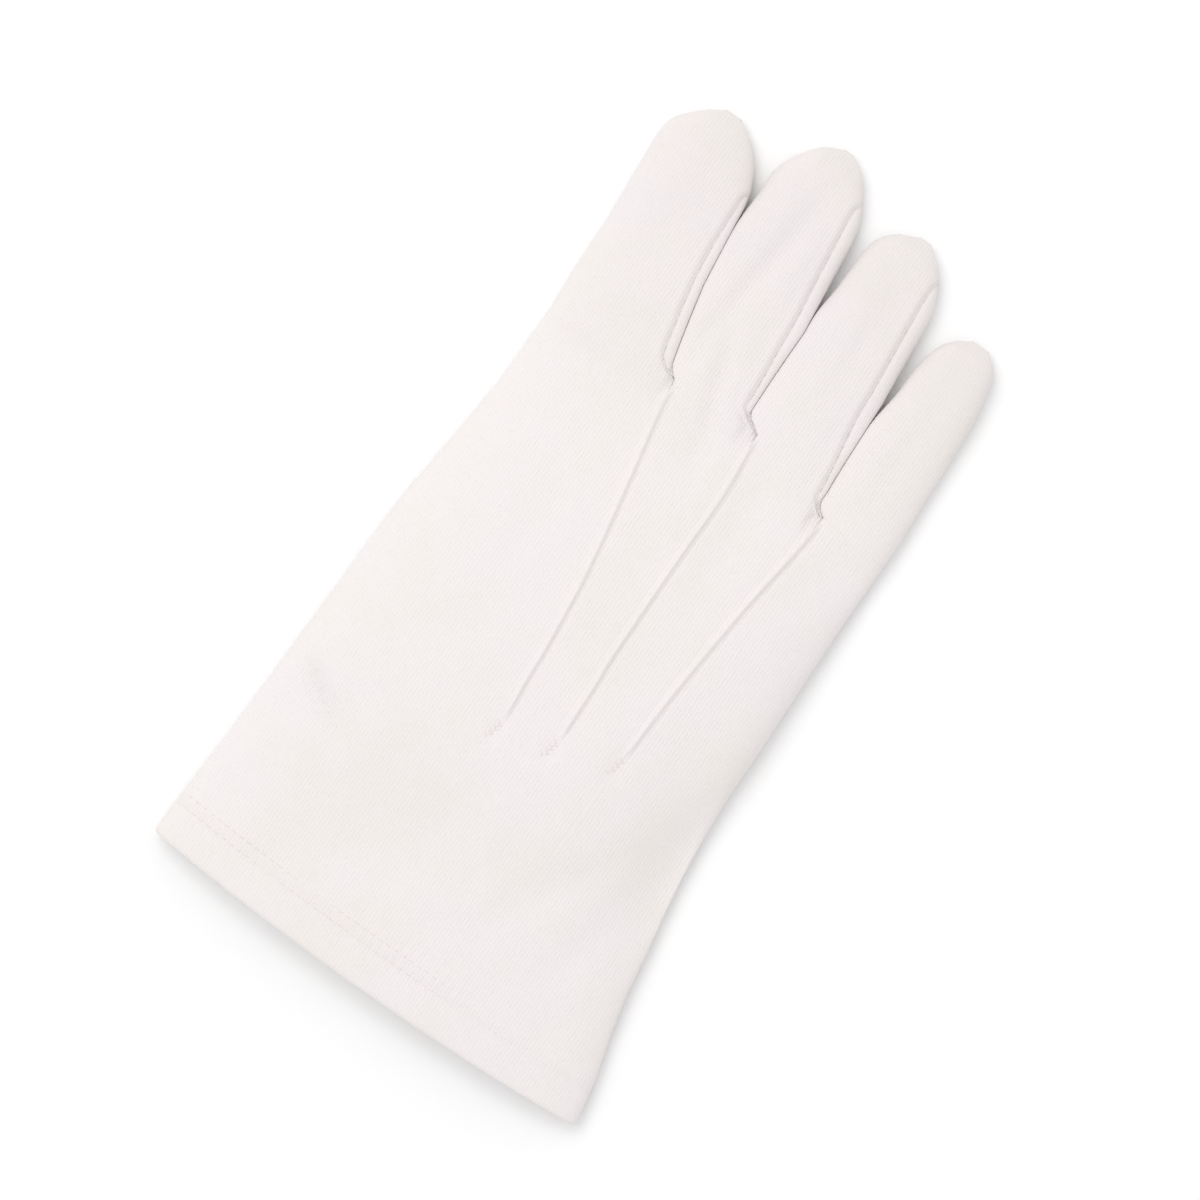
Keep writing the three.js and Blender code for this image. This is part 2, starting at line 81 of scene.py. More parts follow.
# One row for each finger: reach, lean, widths at root, middle and end, round of the tip
FINGERS = {
    "index": (0.88, -0.085, 1.3, 1.11, 1.07, 0.55),
    "middle": (1.0, -0.094, 0.81, 1.04, 1.0, 0.56),
    "ring": (0.9, -0.035, 0.97, 0.99, 0.885, 0.6),
    "little": (0.71, -0.02, 0.81, 0.785, 0.74, 0.56),
}
# One row for each crotch: its height over the knuckle line and its tuck's length, as shares, and how far
# below it the cloth splits
CROTCHES = ((0.02, 0.53, 1.0), (0.06, 0.524, 2.7), (-0.047, 0.442, 3.0))
# The line of each tuck: places along the glove and there the places across
TUCKS = (
    ((70.0, 78.3, 103.8, 119.6, 147.9, 159.4, 167.0), (-8.0, -9.0, -10.9, -13.2, -18.7, -21.4, -22.6)),
    ((70.0, 80.0, 106.6, 129.9, 154.7, 168.8), (6.0, 5.9, 4.6, 4.2, 4.3, 2.4)),
    ((76.0, 86.8, 108.8, 130.3, 150.3, 160.5), (21.6, 21.9, 22.9, 24.9, 27.4, 28.6)),
)
# Place up to which the fingers beside each crotch lie against each other
CONTACTS = (222.0, 212.0, 200.0)
# Width of the side strip that shows on each finger: at the crotch, along the finger and at its upper end
STRIPS = ((3.1, 2.7, 1.5), (1.8, 3.4, 3.9), (1.6, 3.8, 3.9))
# How far below the fingertips the side strips end
STRIP_STOPS = (14.0, 8.4, 6.4, 9.0)
# The fingertips: distances below the tip, and there the half widths on the left and on the right
TIP_PLACES = (0.0, 1.5, 3.0, 5.0, 8.0, 11.0, 15.0, 19.0)
TIPS = {
    "index": (
        (0.17, 0.42, 0.54, 0.68, 0.88, 0.99, 1.0, 1.0),
        (0.04, 0.26, 0.42, 0.58, 0.74, 0.86, 0.98, 1.0),
    ),
    "middle": (
        (0.02, 0.38, 0.52, 0.63, 0.78, 0.9, 0.99, 1.0),
        (0.04, 0.32, 0.45, 0.56, 0.71, 0.84, 0.97, 1.0),
    ),
    "ring": (
        (0.06, 0.48, 0.66, 0.82, 0.96, 1.0, 1.0, 1.0),
        (0.06, 0.27, 0.44, 0.6, 0.76, 0.88, 0.99, 1.0),
    ),
    "little": (
        (0.12, 0.42, 0.6, 0.76, 0.89, 0.95, 0.99, 1.0),
        (0.24, 0.5, 0.67, 0.77, 0.86, 0.92, 0.98, 1.0),
    ),
}
# One row for each section of the hand: place, flare, taper, rise and fall
HAND_SECTIONS = np.array([
    (0.0, 1.0, 0.0, 0.0, 0.0),
    (0.075, 0.84, 0.0, 0.02, 0.0),
    (0.14, 0.64, 0.0, 0.08, 0.0),
    (0.21, 0.47, 0.0, 0.25, 0.0),
    (0.28, 0.35, 0.0, 0.55, 0.0),
    (0.34, 0.23, 0.0, 0.84, 0.0),
    (0.4, 0.13, 0.0, 1.0, 0.0),
    (0.47, 0.05, 0.0, 1.0, 0.0),
    (0.54, 0.0, 0.0, 1.0, 0.0),
    (0.61, 0.0, 0.05, 1.0, 0.02),
    (0.67, 0.0, 0.3, 1.0, 0.08),
    (0.73, 0.0, 0.56, 1.0, 0.18),
    (0.79, 0.0, 0.8, 1.0, 0.36),
    (0.85, 0.0, 1.0, 1.0, 0.6),
    (0.9, 0.0, 1.0, 1.0, 0.85),
    (0.94, 0.0, 1.0, 1.0, 1.05),
    (0.97, 0.0, 1.0, 1.0, 1.12),
    (1.1, 0.0, 1.0, 1.0, 1.0),
])
# One row for each soft dent or fold of the back: x, y, half width, half length, turn, depth
DENTS = (
    (55.0, 66.0, 18.0, 23.0, 8.0, 7.2),
    (30.0, 84.0, 9.0, 14.0, -20.0, 0.5),
    (-52.7, 53.8, 13.4, 10.0, 0.0, 1.0),
    (-12.4, 33.6, 22.4, 13.4, 0.0, 0.6),
    (-50.9, 53.3, 2.0, 11.0, 54.6, 2.0),
    (-47.0, 56.5, 5.0, 13.0, 54.6, -0.5),
    (27.0, 46.0, 5.0, 24.0, -28.0, 0.6),
    (41.0, 40.0, 4.0, 20.0, -12.0, 0.5),
    (-31.0, 128.0, 6.0, 30.0, 4.0, 0.4),
    (12.0, 142.0, 4.0, 20.0, 0.0, 0.35),
    (-19.5, 206.0, 3.2, 24.0, -6.0, 1.3),
    (-12.0, 172.0, 2.6, 18.0, 20.0, 0.9),
    (-45.0, 205.0, 5.0, 20.0, -4.0, 0.35),
    (12.0, 200.0, 3.2, 17.0, 3.0, 0.5),
    (36.0, 186.0, 3.0, 17.0, -3.0, 0.45),
)
# Soft waves of the back, one row each: size, seed, stretch across and along, height
WAVES = ((34.0, 3.1, 1.0, 1.0, 0.75), (13.0, 8.7, 1.3, 0.8, 0.34), (5.5, 1.9, 1.0, 1.0, 0.1))
# The cuff edge folds over: place along the glove and distance inside the outline, row by row, and the
# step to the first row after it
CUFF_CURL = (
    (1.9, 2.05), (1.1, 2.05), (0.45, 1.85), (0.08, 1.45),
    (0.0, 1.0), (0.08, 0.55), (0.45, 0.18), (1.1, 0.0),
)
ROW_AFTER_CURL = 1.4
# Roundness of the cross-sections: 2 is an ellipse, and more comes closer to a box
HAND_ROUND, PALM_ROUND = 3.0, 6.0
FINGER_ROUND, UNDER_ROUND = 2.6, 5.0
THUMB_ROUND, THUMB_END_ROUND = 3.0, 2.0
TIP_ROUND = 2.4
# Spans before and after a place, over which something begins or ends there
PARTING = (0.0, 4.0)
STRIP_GROWS = (5.0, 30.0)
SEAM_RUNS_OUT = (-3.0, 0.0)
SEAM_STARTS, SEAM_ENDS = (-3.0, 0.0), (-3.0, 1.0)
TUCK_STARTS, TUCK_ENDS = (-1.0, 4.0), (-3.0, 1.0)
TOUCH_ENDS, TOUCH_SINKS = (-14.0, 0.0), (-20.0, -2.0)
WEB_SINKS = (0.0, 12.0)
HAND_ENDS = (-10.0, 0.0)
HEM_STEP = (0.0, 1.5)
# Curves of such spans and of a finger's lean, as powers
PARTING_CURVE = 0.35
NARROWING_CURVE = 0.8
JOINING_CURVE = 1.2
CLOSING_CURVE = 0.5
LEAN_CURVE = 0.75
# Lengths over which a side strip narrows and a fingertip closes
STRIP_NARROWS = 14.0
TIP_CLOSES = 5.0
# Steps by which the tables of the fingertips and the tucks are averaged
TIP_EASE = 0.6
TUCK_EASE = 4.0
# How far below its crotch a tuck's length is counted from, and how far below the split it ends
TUCK_BELOW = 7.0
TUCK_STOP = 2.0
# Share by which a finger grows flatter over its reach
FINGER_SLIMMING = 0.08
# How far below the knuckle line the fingers' own edges are followed
KNUCKLE_REACH = 14.0
# Rise of the fingers' sides at a crotch and where two fingers touch, and the gap left there
WEB_RISE = 0.8
TOUCH_RISE = 2.9
TOUCH_GAP = 0.03
# Shares of a cross-section's rise by which the soft waves and the sewn relief have their full height
SOFT_FROM_EDGE = 0.8
SEWN_FROM_EDGE = 0.4
# Flat border of the lifted palm beside the thumb
LIFT_BORDER = 2.4
# The hem: height of its double cloth, place of its stitches before its end, and the turned-in cloth
HEM_RISE = 0.35
HEM_STITCH_INSET = 0.45
HEM_INSIDE = 2.1
HEM_FROM, HEM_OVER = 1.3, 1.2
# Stitches: gaps to the glove's edge where a row starts and stops, the height of the thread's middle over
# the cloth in shares of its thickness, and the bar at the wrist end of a tuck
ROW_MARGIN, STITCH_MARGIN = 1.2, 0.8
HEM_STAND, BAR_STAND = 0.12, 0.2
BAR_COUNT, BAR_PITCH, BAR_SPREAD, BAR_SLANT = 7, 0.75, 0.45, 0.18
BAR_BELOW = 1.0
# Faces of the grids: columns, rows of the hand and rows of the fingers, or columns and rows
PANEL_GRIDS = {"back": (34, 118, 62), "palm": (26, 90, 46)}
STRIP_GRID = (12, 150)
THUMB_GRID = (56, 72)
HEM_GRID = (260, 12)
# How much closer the rows lie at the fingertips and at the crotches
TIP_CROWDING = 1.35
STRIP_CROWDING = 1.3
# Width of a side strip in the knit's pattern
STRIP_WEAVE = 12.0
# Least width that a share is taken of
TINY = 1e-6

# Metres from here on. The flat cuts of the cloth: the thumb and the hem
THUMB_CUT = (0.066, 0.084)
HEM_CUT = (0.262, 0.0115)
WELD = 0.00002
BAR_STITCH = 0.0015
# Floor: half its side and how far it lies under the glove
FLOOR_SIZE = 3.0
FLOOR_DROP = 0.0002
# Lamp: the point it shines at, where it hangs from there, and its size
LAMP_AIM = Vector((-0.008, 0.073, 0.0))
LAMP_OFFSET = Vector((-0.66, 0.24, 1.3))
LAMP_SIZE = (1.0, 0.8)
# Camera: glove coordinates of the image's centre, its width at the glove, its turn and its tilt
VIEW_CENTRE = Vector((-0.0060, 0.0722, 0.005))
VIEW_WIDTH = 0.3035
VIEW_TURN = math.radians(35.0)
VIEW_TILT = math.radians(2.5)
VIEW_LENS = 130.0
VIEW_SENSOR = 36.0

# The knit: a row's height in columns, the lean and depth of a loop, the curve of the groove between two
# columns and the strength of the painted shade in it, and the depths of knit and fuzz
ROW_SHARE = 0.78
LOOP_LEAN = 1.3
LOOP_DEPTH = 0.28
GROOVE_CURVE = 3.0
GROOVE_SHADE = 0.22
KNIT_DEPTH = 0.5
FUZZ_DEPTH = 1.1
# Where along the glove, in metres from the cuff, the fingers begin to grow darker and are so in full
DARKER_FROM, DARKER_FULL = 0.155, 0.215
# Tints as shares of red, green and blue
CREAM = (0.985, 0.99, 0.962)
COOL_WHITE = (1.0, 0.993, 1.008)
# Tint multiplied in for the painted shade of the knit's grooves and for the darker fingers
GROOVE_SHADE_AND_FINGER_TINT = (0.93, 0.92, 0.91)
TWIST_SHADE = (0.94, 0.93, 0.92)


def mix(a, b, share):
    return a + (b - a) * share


def smooth(x, low, high):
    share = np.clip((x - low) / (high - low), 0.0, 1.0)
    return share * share * (3.0 - 2.0 * share)


def ramp(x, place, span):
    """Rises from 0 to 1 over a span before and after a place."""
    return smooth(x, place + span[0], place + span[1])


def bulge(share, roundness):
    flatness = np.maximum(0.0, 1.0 - np.minimum(1.0, np.abs(share)) ** roundness)
    return flatness ** (1.0 / roundness)


def bell(distance, half_width):
    return np.exp(-((distance / half_width) ** 2))


def eased(x, step, places, values):
    """Values read off a table, as the mean of five places a step apart."""
    near = [np.interp(np.asarray(x) + k * step, places, values) for k in (-2, -1, 0, 1, 2)]
    return sum(near) / len(near)


def ripple(x, y, size, seed):
    """Soft noise from -1 to 1 with waves of the given size."""
    shape = np.broadcast(x, y).shape
    xs, ys = (np.broadcast_to(v, shape).ravel() for v in (x, y))
    found = [noise.noise(Vector((a / size, b / size, seed))) for a, b in zip(xs, ys)]
    return np.array(found).reshape(shape)


def section(y):
    """Half width, middle and height of the hand at a place along it."""
    along = y / HAND_LENGTH
    places, *columns = HAND_SECTIONS.T
    flare, taper, rise, fall = (np.interp(along, places, column) for column in columns)
    half = mix(mix(PALM_WIDTH / 2, CUFF_WIDTH / 2, flare), HALF_KNUCKLES, taper)
    middle = mix(mix(PALM_MIDDLE, 0.0, flare), KNUCKLE_MIDDLE, taper)
    high = mix(mix(CUFF_HEIGHT, HAND_HEIGHT, rise), FINGER_HEIGHT, fall)
    return half, middle, high


class Finger:
    """The outline of one finger from its row of shares."""

    def __init__(self, name, row, left):
        self.name = name
        reach, lean, base, mid, end, rounding = row
        self.widths = [share * FINGER_WIDTH for share in (base, mid, end)]
        self.rounding = rounding * self.widths[2]
        self.reach, self.lean = reach * FINGER_REACH, lean * FINGER_REACH
        self.root = left + self.widths[0] / 2
        self.tip = HAND_LENGTH + self.reach

    def edge(self, y, side):
        """Left (-1) or right (1) edge, before the fingertip rounds it off."""
        share = np.clip((y - HAND_LENGTH) / (self.reach - self.rounding), 0.0, 1.0)
        width = np.interp(share, (0.0, 0.5, 1.0), self.widths)
        return self.root + self.lean * share**LEAN_CURVE + side * width / 2

    def sides(self, y):
        """Left and right edge with the round of the fingertip."""
        left, right = self.edge(y, -1), self.edge(y, 1)
        half = (right - left) / 2
        shares = [eased(self.tip - y, TIP_EASE, TIP_PLACES, row) for row in TIPS[self.name]]
        return left + half * (1 - shares[0]), right - half * (1 - shares[1])

    def fullness(self, y):
        """Share of its height that the finger has near its tip."""
        return bulge(1 - np.clip((self.tip - y) / self.rounding, 0.0, 1.0), TIP_ROUND)

    def height(self, y):
        along = np.maximum(0.0, y - HAND_LENGTH) / FINGER_REACH
        return FINGER_HEIGHT * (1 - FINGER_SLIMMING * along)


def lay_out_fingers():
    """The four fingers side by side, and half the width that they take up at the knuckle line."""
    total = sum(row[2] * FINGER_WIDTH for row in FINGERS.values()) + 3 * FINGER_GAP
    left, made = KNUCKLE_MIDDLE - total / 2, []
    for name, row in FINGERS.items():
        made.append(Finger(name, row, left))
        left += made[-1].widths[0] + FINGER_GAP
    return made, total / 2


GLOVE_FINGERS, HALF_KNUCKLES = lay_out_fingers()
CROTCH_Y = [HAND_LENGTH + row[0] * FINGER_REACH for row in CROTCHES]
SPLIT_Y = [y - row[2] for y, row in zip(CROTCH_Y, CROTCHES)]


def split_line(group, across):
    """Where a finger's columns leave the hand, at a share of the way from its left side to its right."""
    return mix(SPLIT_Y[max(group - 1, 0)], SPLIT_Y[min(group, 2)], across)


def strip_end(group):
    """Where the side strips of a finger end."""
    return GLOVE_FINGERS[group].tip - STRIP_STOPS[group]


def tuck_ends(i):
    """Wrist end and upper end of a tuck."""
    return CROTCH_Y[i] - TUCK_BELOW - CROTCHES[i][1] * HAND_LENGTH, SPLIT_Y[i] - TUCK_STOP


def tuck_x(i, y):
    """Place sideways of a tuck's line, which goes straight on to the cuff."""
    return eased(y, TUCK_EASE, *TUCKS[i])


def parted(i, y):
    """How far the seams at a crotch have left the tuck's line, from 0 to 1."""
    return ramp(y, SPLIT_Y[i], PARTING) ** PARTING_CURVE


def seam_line(i, y, width):
    """A line a width inside a finger's right side, that runs out where the fingertip rounds off."""
    edge = GLOVE_FINGERS[i].sides(y)[1]
    inside = np.minimum(GLOVE_FINGERS[i].edge(y, 1) - width, edge)
    return mix(inside, edge, ramp(y, strip_end(i), SEAM_RUNS_OUT))


def strip_right(i, y):
    """Seam between the back and the side strip on the finger left of a crotch."""
    first, wide, last = STRIPS[i]
    width = mix(first, wide, ramp(y, SPLIT_Y[i], STRIP_GROWS))
    width = mix(width, last, smooth(y, SPLIT_Y[i] + STRIP_GROWS[1], strip_end(i)))
    return mix(tuck_x(i, y), seam_line(i, y, width), parted(i, y))


def under_right(i, y):
    """Seam between the palm and the side strip on the finger left of a crotch."""
    return mix(tuck_x(i, y), seam_line(i, y, FOURCHETTE_UNDER), parted(i, y))


def left_side(group, y):
    """Left edge of a finger, drawn against its neighbour as far as the two touch."""
    left = GLOVE_FINGERS[group].sides(y)[0]
    if group == 0:
        return left
    touching = 1 - ramp(y, CONTACTS[group - 1], TOUCH_ENDS)
    return mix(left, GLOVE_FINGERS[group - 1].sides(y)[1] + TOUCH_GAP, touching)


def edge_left(i, y, width=0.0):
    """Left edge of the finger right of a crotch, or the seam a width inside it."""
    width = width * smooth(strip_end(i + 1) - y, 0.0, STRIP_NARROWS) ** NARROWING_CURVE
    return mix(tuck_x(i, y), left_side(i + 1, y) + width, parted(i, y))


def outer_edge(side, y):
    """The glove's own left (-1) or right (1) edge, from the cuff to the fingertip."""
    half, middle, _ = section(np.minimum(y, HAND_LENGTH))
    finger, which = (GLOVE_FINGERS[0], 0) if side < 0 else (GLOVE_FINGERS[-1], 1)
    beyond = finger.sides(np.maximum(y, HAND_LENGTH))[which]
    return np.where(y < HAND_LENGTH, middle + side * half, beyond)


def thumb_frame(x, y):
    """Turns a point of the floor plan into the thumb's own frame."""
    dx, dy = x - THUMB_MIDDLE, y - THUMB_FROM_CUFF
    c, s = math.cos(THUMB_SLANT), math.sin(THUMB_SLANT)
    return c * dx - s * dy, s * dx + c * dy


def lift(x, y):
    """How far the thumb lifts the palm off the floor."""
    across, along = thumb_frame(x, y)
    near = np.clip(along, THUMB_ROOT_WIDTH / 2, THUMB_LENGTH - THUMB_TIP_WIDTH / 2)
    half = mix(THUMB_ROOT_WIDTH, THUMB_TIP_WIDTH, near / THUMB_LENGTH) / 2
    return PALM_LIFT * (1 - smooth(np.hypot(across, along - near) - half, LIFT_BORDER, DRAPE))


def bow(x, y):
    """How far the cuff edge bows out in its middle."""
    share = np.minimum(1.0, np.abs(x) / (CUFF_WIDTH / 2))
    return CUFF_BOW * (1 - share**2) * (1 - smooth(y, 0.0, WRIST_FROM_CUFF))


def folds(x, y):
    """How far the soft dents and folds press the back down."""
    down = np.zeros(np.broadcast(x, y).shape)
    for at_x, at_y, half_width, half_length, turn, depth in DENTS:
        c, s = math.cos(math.radians(turn)), math.sin(math.radians(turn))
        across = c * (x - at_x) + s * (y - at_y)
        along = -s * (x - at_x) + c * (y - at_y)
        down += depth * np.exp(-((across / half_width) ** 2) - (along / half_length) ** 2)
    return down


def tuck_relief(x, y, sizes):
    """The raised tucks, the valley on each side and the pull of their stitches."""
    height, width = sizes.tuck_height / MM, sizes.tuck_width / MM
    up = np.zeros(np.broadcast(x, y).shape)
    for i in range(3):
        low, top = tuck_ends(i)
        shown = ramp(y, low, TUCK_STARTS) * (1 - ramp(y, top, TUCK_ENDS))
        wander = 0.16 * ripple(np.full_like(x, 3.0 * i), y, 9.0, 2.2)
        side = (x - tuck_x(i, y)) * 0.97 + wander + 0.05 * np.sin(y * 2.4 + i)
        ridge = bell(side, width * 0.5) * (1 + 0.18 * ripple(np.full_like(x, i), y, 4.0, 6.1))
        valley = 0.3 * bell(side - width * 0.85, 0.55) + 0.08 * bell(side + width * 0.9, 0.9)
        pull = 0.045 * np.sin(y * 2.4 + 1.3 * i) * bell(side - 1.2, 2.6)
        dimple = 0.5 * bell(side, 2.4) * bell(y - low + 3.5, 5.0)
        up += shown * (height * ridge - valley + pull)
        up -= dimple
    return up


def seam_relief(x, y):
    """The groove and the small puckers along the seams of the side strips."""
    up = np.zeros(np.broadcast(x, y).shape)
    for i in range(3):
        stop = strip_end(i)
        beside = x - strip_right(i, np.clip(y, SPLIT_Y[i], stop))
        shown = ramp(y, SPLIT_Y[i], SEAM_STARTS) * (1 - ramp(y, stop, SEAM_ENDS))
        pull = 0.1 * np.sin(y * 2.05 + i) * bell(beside, 2.4)
        groove = 0.6 * bell(beside, 0.7)
        ridge = 0.2 * bell(beside + 1.5, 1.0)
        up += shown * (pull - groove + ridge)
    return up


def hem_rows(sizes):
    """Places of the hem's two rows of stitches."""
    gap = sizes.row_gap / MM
    return [HEM_LENGTH - HEM_STITCH_INSET + side * gap / 2 for side in (-1, 1)]


def hem_relief(x, y, sizes):
    """The double cloth of the hem, the groove of its stitches and their pull."""
    rows = hem_rows(sizes)
    thick = HEM_RISE * (1 - ramp(y, rows[1], HEM_STEP))
    grooves = sum(0.42 * bell(y - place, 0.6) for place in rows)
    pull = 0.06 * np.sin(x * 2.42 + 0.7 * np.sin(x * 0.31)) * bell(y - HEM_LENGTH, 3.4)
    return thick - grooves + pull


def soft_relief(x, y, sizes):
    """The soft waves of the back."""
    waves = sum(high * ripple(x * wide, y * far, size, seed) for size, seed, wide, far, high in WAVES)
    return waves * sizes.softness


def finger_shares(group, x, y):
    """How far across a finger a point lies, from -1 to 1, and the height of the finger's side there."""
    reached = np.maximum(y, HAND_LENGTH - KNUCKLE_REACH)
    left, right = left_side(group, reached), GLOVE_FINGERS[group].sides(reached)[1]
    share = np.clip((2 * x - left - right) / np.maximum(right - left, TINY), -1.0, 1.0)
    base = np.full_like(share, SIDE_HEIGHT)
    for side, crotch in ((-1, group - 1), (1, group)):
        if 0 <= crotch <= 2:
            web = WEB_RISE * (1 - ramp(y, SPLIT_Y[crotch], WEB_SINKS))
            web = web + TOUCH_RISE * (1 - ramp(y, CONTACTS[crotch], TOUCH_SINKS))
            base = base + web * smooth(side * share, 0.0, 1.0)
    return share, base


def back_height(group, x, y, sizes, inset=0.0):
    """Height of the back over the floor plan, in the columns that belong to one finger."""
    half, middle, high = section(np.minimum(y, HAND_LENGTH))
    hand_rise = bulge((x - middle) / np.maximum(half - inset, TINY), HAND_ROUND)
    hand = SIDE_HEIGHT + (high - inset - SIDE_HEIGHT) * hand_rise
    finger = GLOVE_FINGERS[group]
    share, base = finger_shares(group, x, y)
    finger_rise = bulge(share, FINGER_ROUND)
    arch = base + (finger.height(y) - base) * finger_rise * finger.fullness(y)
    arch = mix(SIDE_HEIGHT, arch, smooth(finger.tip - y, 0.0, TIP_CLOSES) ** CLOSING_CURVE)
    joined = ramp(y, split_line(group, share * 0.5 + 0.5), HAND_ENDS) ** JOINING_CURVE
    rise = mix(hand_rise, finger_rise * finger.fullness(y), joined)
    soft = smooth(rise, 0.0, SOFT_FROM_EDGE)
    sewn = smooth(rise, 0.0, SEWN_FROM_EDGE)
    z = mix(hand, arch, joined) - folds(x, y) * soft + soft_relief(x, y, sizes) * soft
    z = z + tuck_relief(x, y, sizes)
    return z + seam_relief(x, y) * sewn + hem_relief(x, y, sizes) * sewn


def palm_height(group, x, y, sizes, inset=0.0):
    """Height of the palm over the floor plan, in the columns that belong to one finger."""
    half, middle, _ = section(np.minimum(y, HAND_LENGTH))
    hand_rise = bulge((x - middle) / half, PALM_ROUND)
    share, _ = finger_shares(group, x, y)
    finger_rise = bulge(share, UNDER_ROUND) * GLOVE_FINGERS[group].fullness(y)
    rise = mix(hand_rise, finger_rise, ramp(y, split_line(group, share * 0.5 + 0.5), HAND_ENDS))
    raised = lift(x, y)
    wave = 0.35 * (ripple(x, y, 17.0, 5.5) - 1.0) * smooth(raised, 0.5, 4.0)
    return mix(SIDE_HEIGHT, inset, rise) + raised + wave * sizes.softness


HEIGHTS = {"back": back_height, "palm": palm_height}


def spread(count):
    """Places from 0 to 1 that lie closer together towards both ends."""
    t = np.linspace(0.0, 1.0, count + 1)
    return 0.5 * (0.5 - 0.5 * np.cos(math.pi * t)) + 0.5 * (6 * t**5 - 15 * t**4 + 10 * t**3)


def new_cloth():
    """An empty mesh with the map of its knit."""
    mesh = bmesh.new()
    return mesh, mesh.loops.layers.uv.new("cloth")


def add_grid(mesh, columns, rows):
    """Adds a flat grid, and gives its points with their shares across it and along it."""
    made = bmesh.ops.create_grid(mesh, x_segments=columns, y_segments=rows, size=0.5)["verts"]
    across = np.array([vert.co.x + 0.5 for vert in made])
    along = np.array([vert.co.y + 0.5 for vert in made])
    return made, across, along


def place_points(verts, x, y, z):
    """Moves points to places given in millimetres, y counted from the cuff edge."""
    for vert, a, b, c in zip(verts, x, y, z):
        vert.co = (a * MM, (b - WRIST_FROM_CUFF) * MM, c * MM)


def write_uv(layer, verts, across, along):
    """Lays the knit's pattern on the new points, in metres along the cloth."""
    place = {v: (float(a) * MM, float(b) * MM) for v, a, b in zip(verts, across, along)}
    for face in {f for v in verts for f in v.link_faces}:
        for loop in face.loops:
            if loop.vert in place:
                loop[layer].uv = place[loop.vert]


def weld(mesh):
    """Merges the points that lie on each other, and turns the faces outwards."""
    bmesh.ops.remove_doubles(mesh, verts=mesh.verts, dist=WELD)
    bmesh.ops.recalc_face_normals(mesh, faces=mesh.faces)
    mesh.normal_update()


def turn_faces(mesh, way, above=-1.0):
    """Turns the faces round unless those above a height in metres look up (1) or down (-1)."""
    tops = [face for face in mesh.faces if face.calc_center_median().z > above]
    if way * sum(face.normal.z for face in tops) < 0:
        bmesh.ops.reverse_faces(mesh, faces=mesh.faces)


def new_object(name, mesh, material):
    """Turns a bmesh into an object with one material."""
    data = bpy.data.meshes.new(name)
    mesh.to_mesh(data)
    mesh.free()
    data.materials.append(material)
    made = bpy.data.objects.new(name, data)
    bpy.context.scene.collection.objects.link(made)
    return made


def finish_piece(name, mesh, material):
    """Turns a bmesh into a piece that rides on the glove, with its finish."""
    piece = new_object(name, mesh, material)
    for polygon in piece.data.polygons:
        polygon.use_smooth = True
    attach(piece, "root")
    return piece


def thicken(piece, thickness):
    """Gives the cloth its wall, on the inner side."""
    wall = piece.modifiers.new("cloth wall", "SOLIDIFY")
    wall.thickness = thickness
    wall.offset = -1.0
    wall.use_even_offset = False
    wall.use_quality_normals = True


def panel_sides(kind, group, y):
    """Left and right border of a panel's columns at places along the glove."""
    if group == 0:
        left = outer_edge(-1, y)
    else:
        width = 0.0 if kind == "back" else FOURCHETTE_UNDER
        left = np.where(y <= SPLIT_Y[group - 1], tuck_x(group - 1, y), edge_left(group - 1, y, width))
    if group == 3:
        right = outer_edge(1, y)
    else:
        strip = strip_right if kind == "back" else under_right
        right = np.where(y <= SPLIT_Y[group], tuck_x(group, y), strip(group, y))
    return left, right


def cut_area(kind):
    """Area of a panel's flat cut, from its outline on the floor, in square metres."""
    total = 0.0
    for group, finger in enumerate(GLOVE_FINGERS):
        y = np.linspace(0.0, finger.tip, 400)
        left, right = panel_sides(kind, group, y)
        total += float(np.mean(right - left)) * finger.tip
    return total * MM * MM


def unrolled(x, z, row, column):
    """Distance of a panel's points along the cloth, counted in each row from its middle column."""
    table = (row.max() + 1, column.max() + 1)
    order = np.lexsort((column, row))
    grid_x, grid_z = x[order].reshape(table), z[order].reshape(table)
    steps = np.hypot(np.diff(grid_x, axis=1), np.diff(grid_z, axis=1))
    arc = np.concatenate([np.zeros((table[0], 1)), np.cumsum(steps, axis=1)], axis=1)
    centre = column.max() // 2
    flat = arc - arc[:, centre : centre + 1] + grid_x[:, centre : centre + 1]
    return flat[row, column]


def add_panel(mesh, layer, kind, group, sizes):
    """Adds one finger's columns of the back or the palm, from the folded cuff to the fingertip."""
    columns, hand_rows, finger_rows = PANEL_GRIDS[kind]
    curl = len(CUFF_CURL)
    rows = curl + hand_rows + finger_rows
    made, across, along = add_grid(mesh, columns, rows - 1)
    column = np.rint(across * columns).astype(int)
    row = np.rint(along * (rows - 1)).astype(int)
    split = split_line(group, np.linspace(0.0, 1.0, columns + 1)[column])
    first = CUFF_CURL[-1][0] + ROW_AFTER_CURL
    in_hand = first + (split - first) * np.clip((row - curl) / (hand_rows - 1), 0.0, 1.0)
    share = np.clip((row - curl - hand_rows + 1) / finger_rows, 0.0, 1.0)
    in_finger = mix(split, GLOVE_FINGERS[group].tip, 1 - (1 - share) ** TIP_CROWDING)
    y = np.where(row < curl + hand_rows, in_hand, in_finger)
    inset = np.zeros_like(y)
    for k, (place, depth) in enumerate(CUFF_CURL):
        y = np.where(row == k, place, y)
        inset = np.where(row == k, depth, inset)
    left, right = panel_sides(kind, group, y)
    x = mix(left, right, spread(columns)[column])
    half, middle, _ = section(np.minimum(y, HAND_LENGTH))
    x = np.where(inset > 0, middle + (x - middle) * (half - inset) / half, x)
    z = HEIGHTS[kind](group, x, y, sizes, inset)
    place_points(made, x, y - bow(x, y), z)
    write_uv(layer, made, unrolled(x, z, row, column), y)


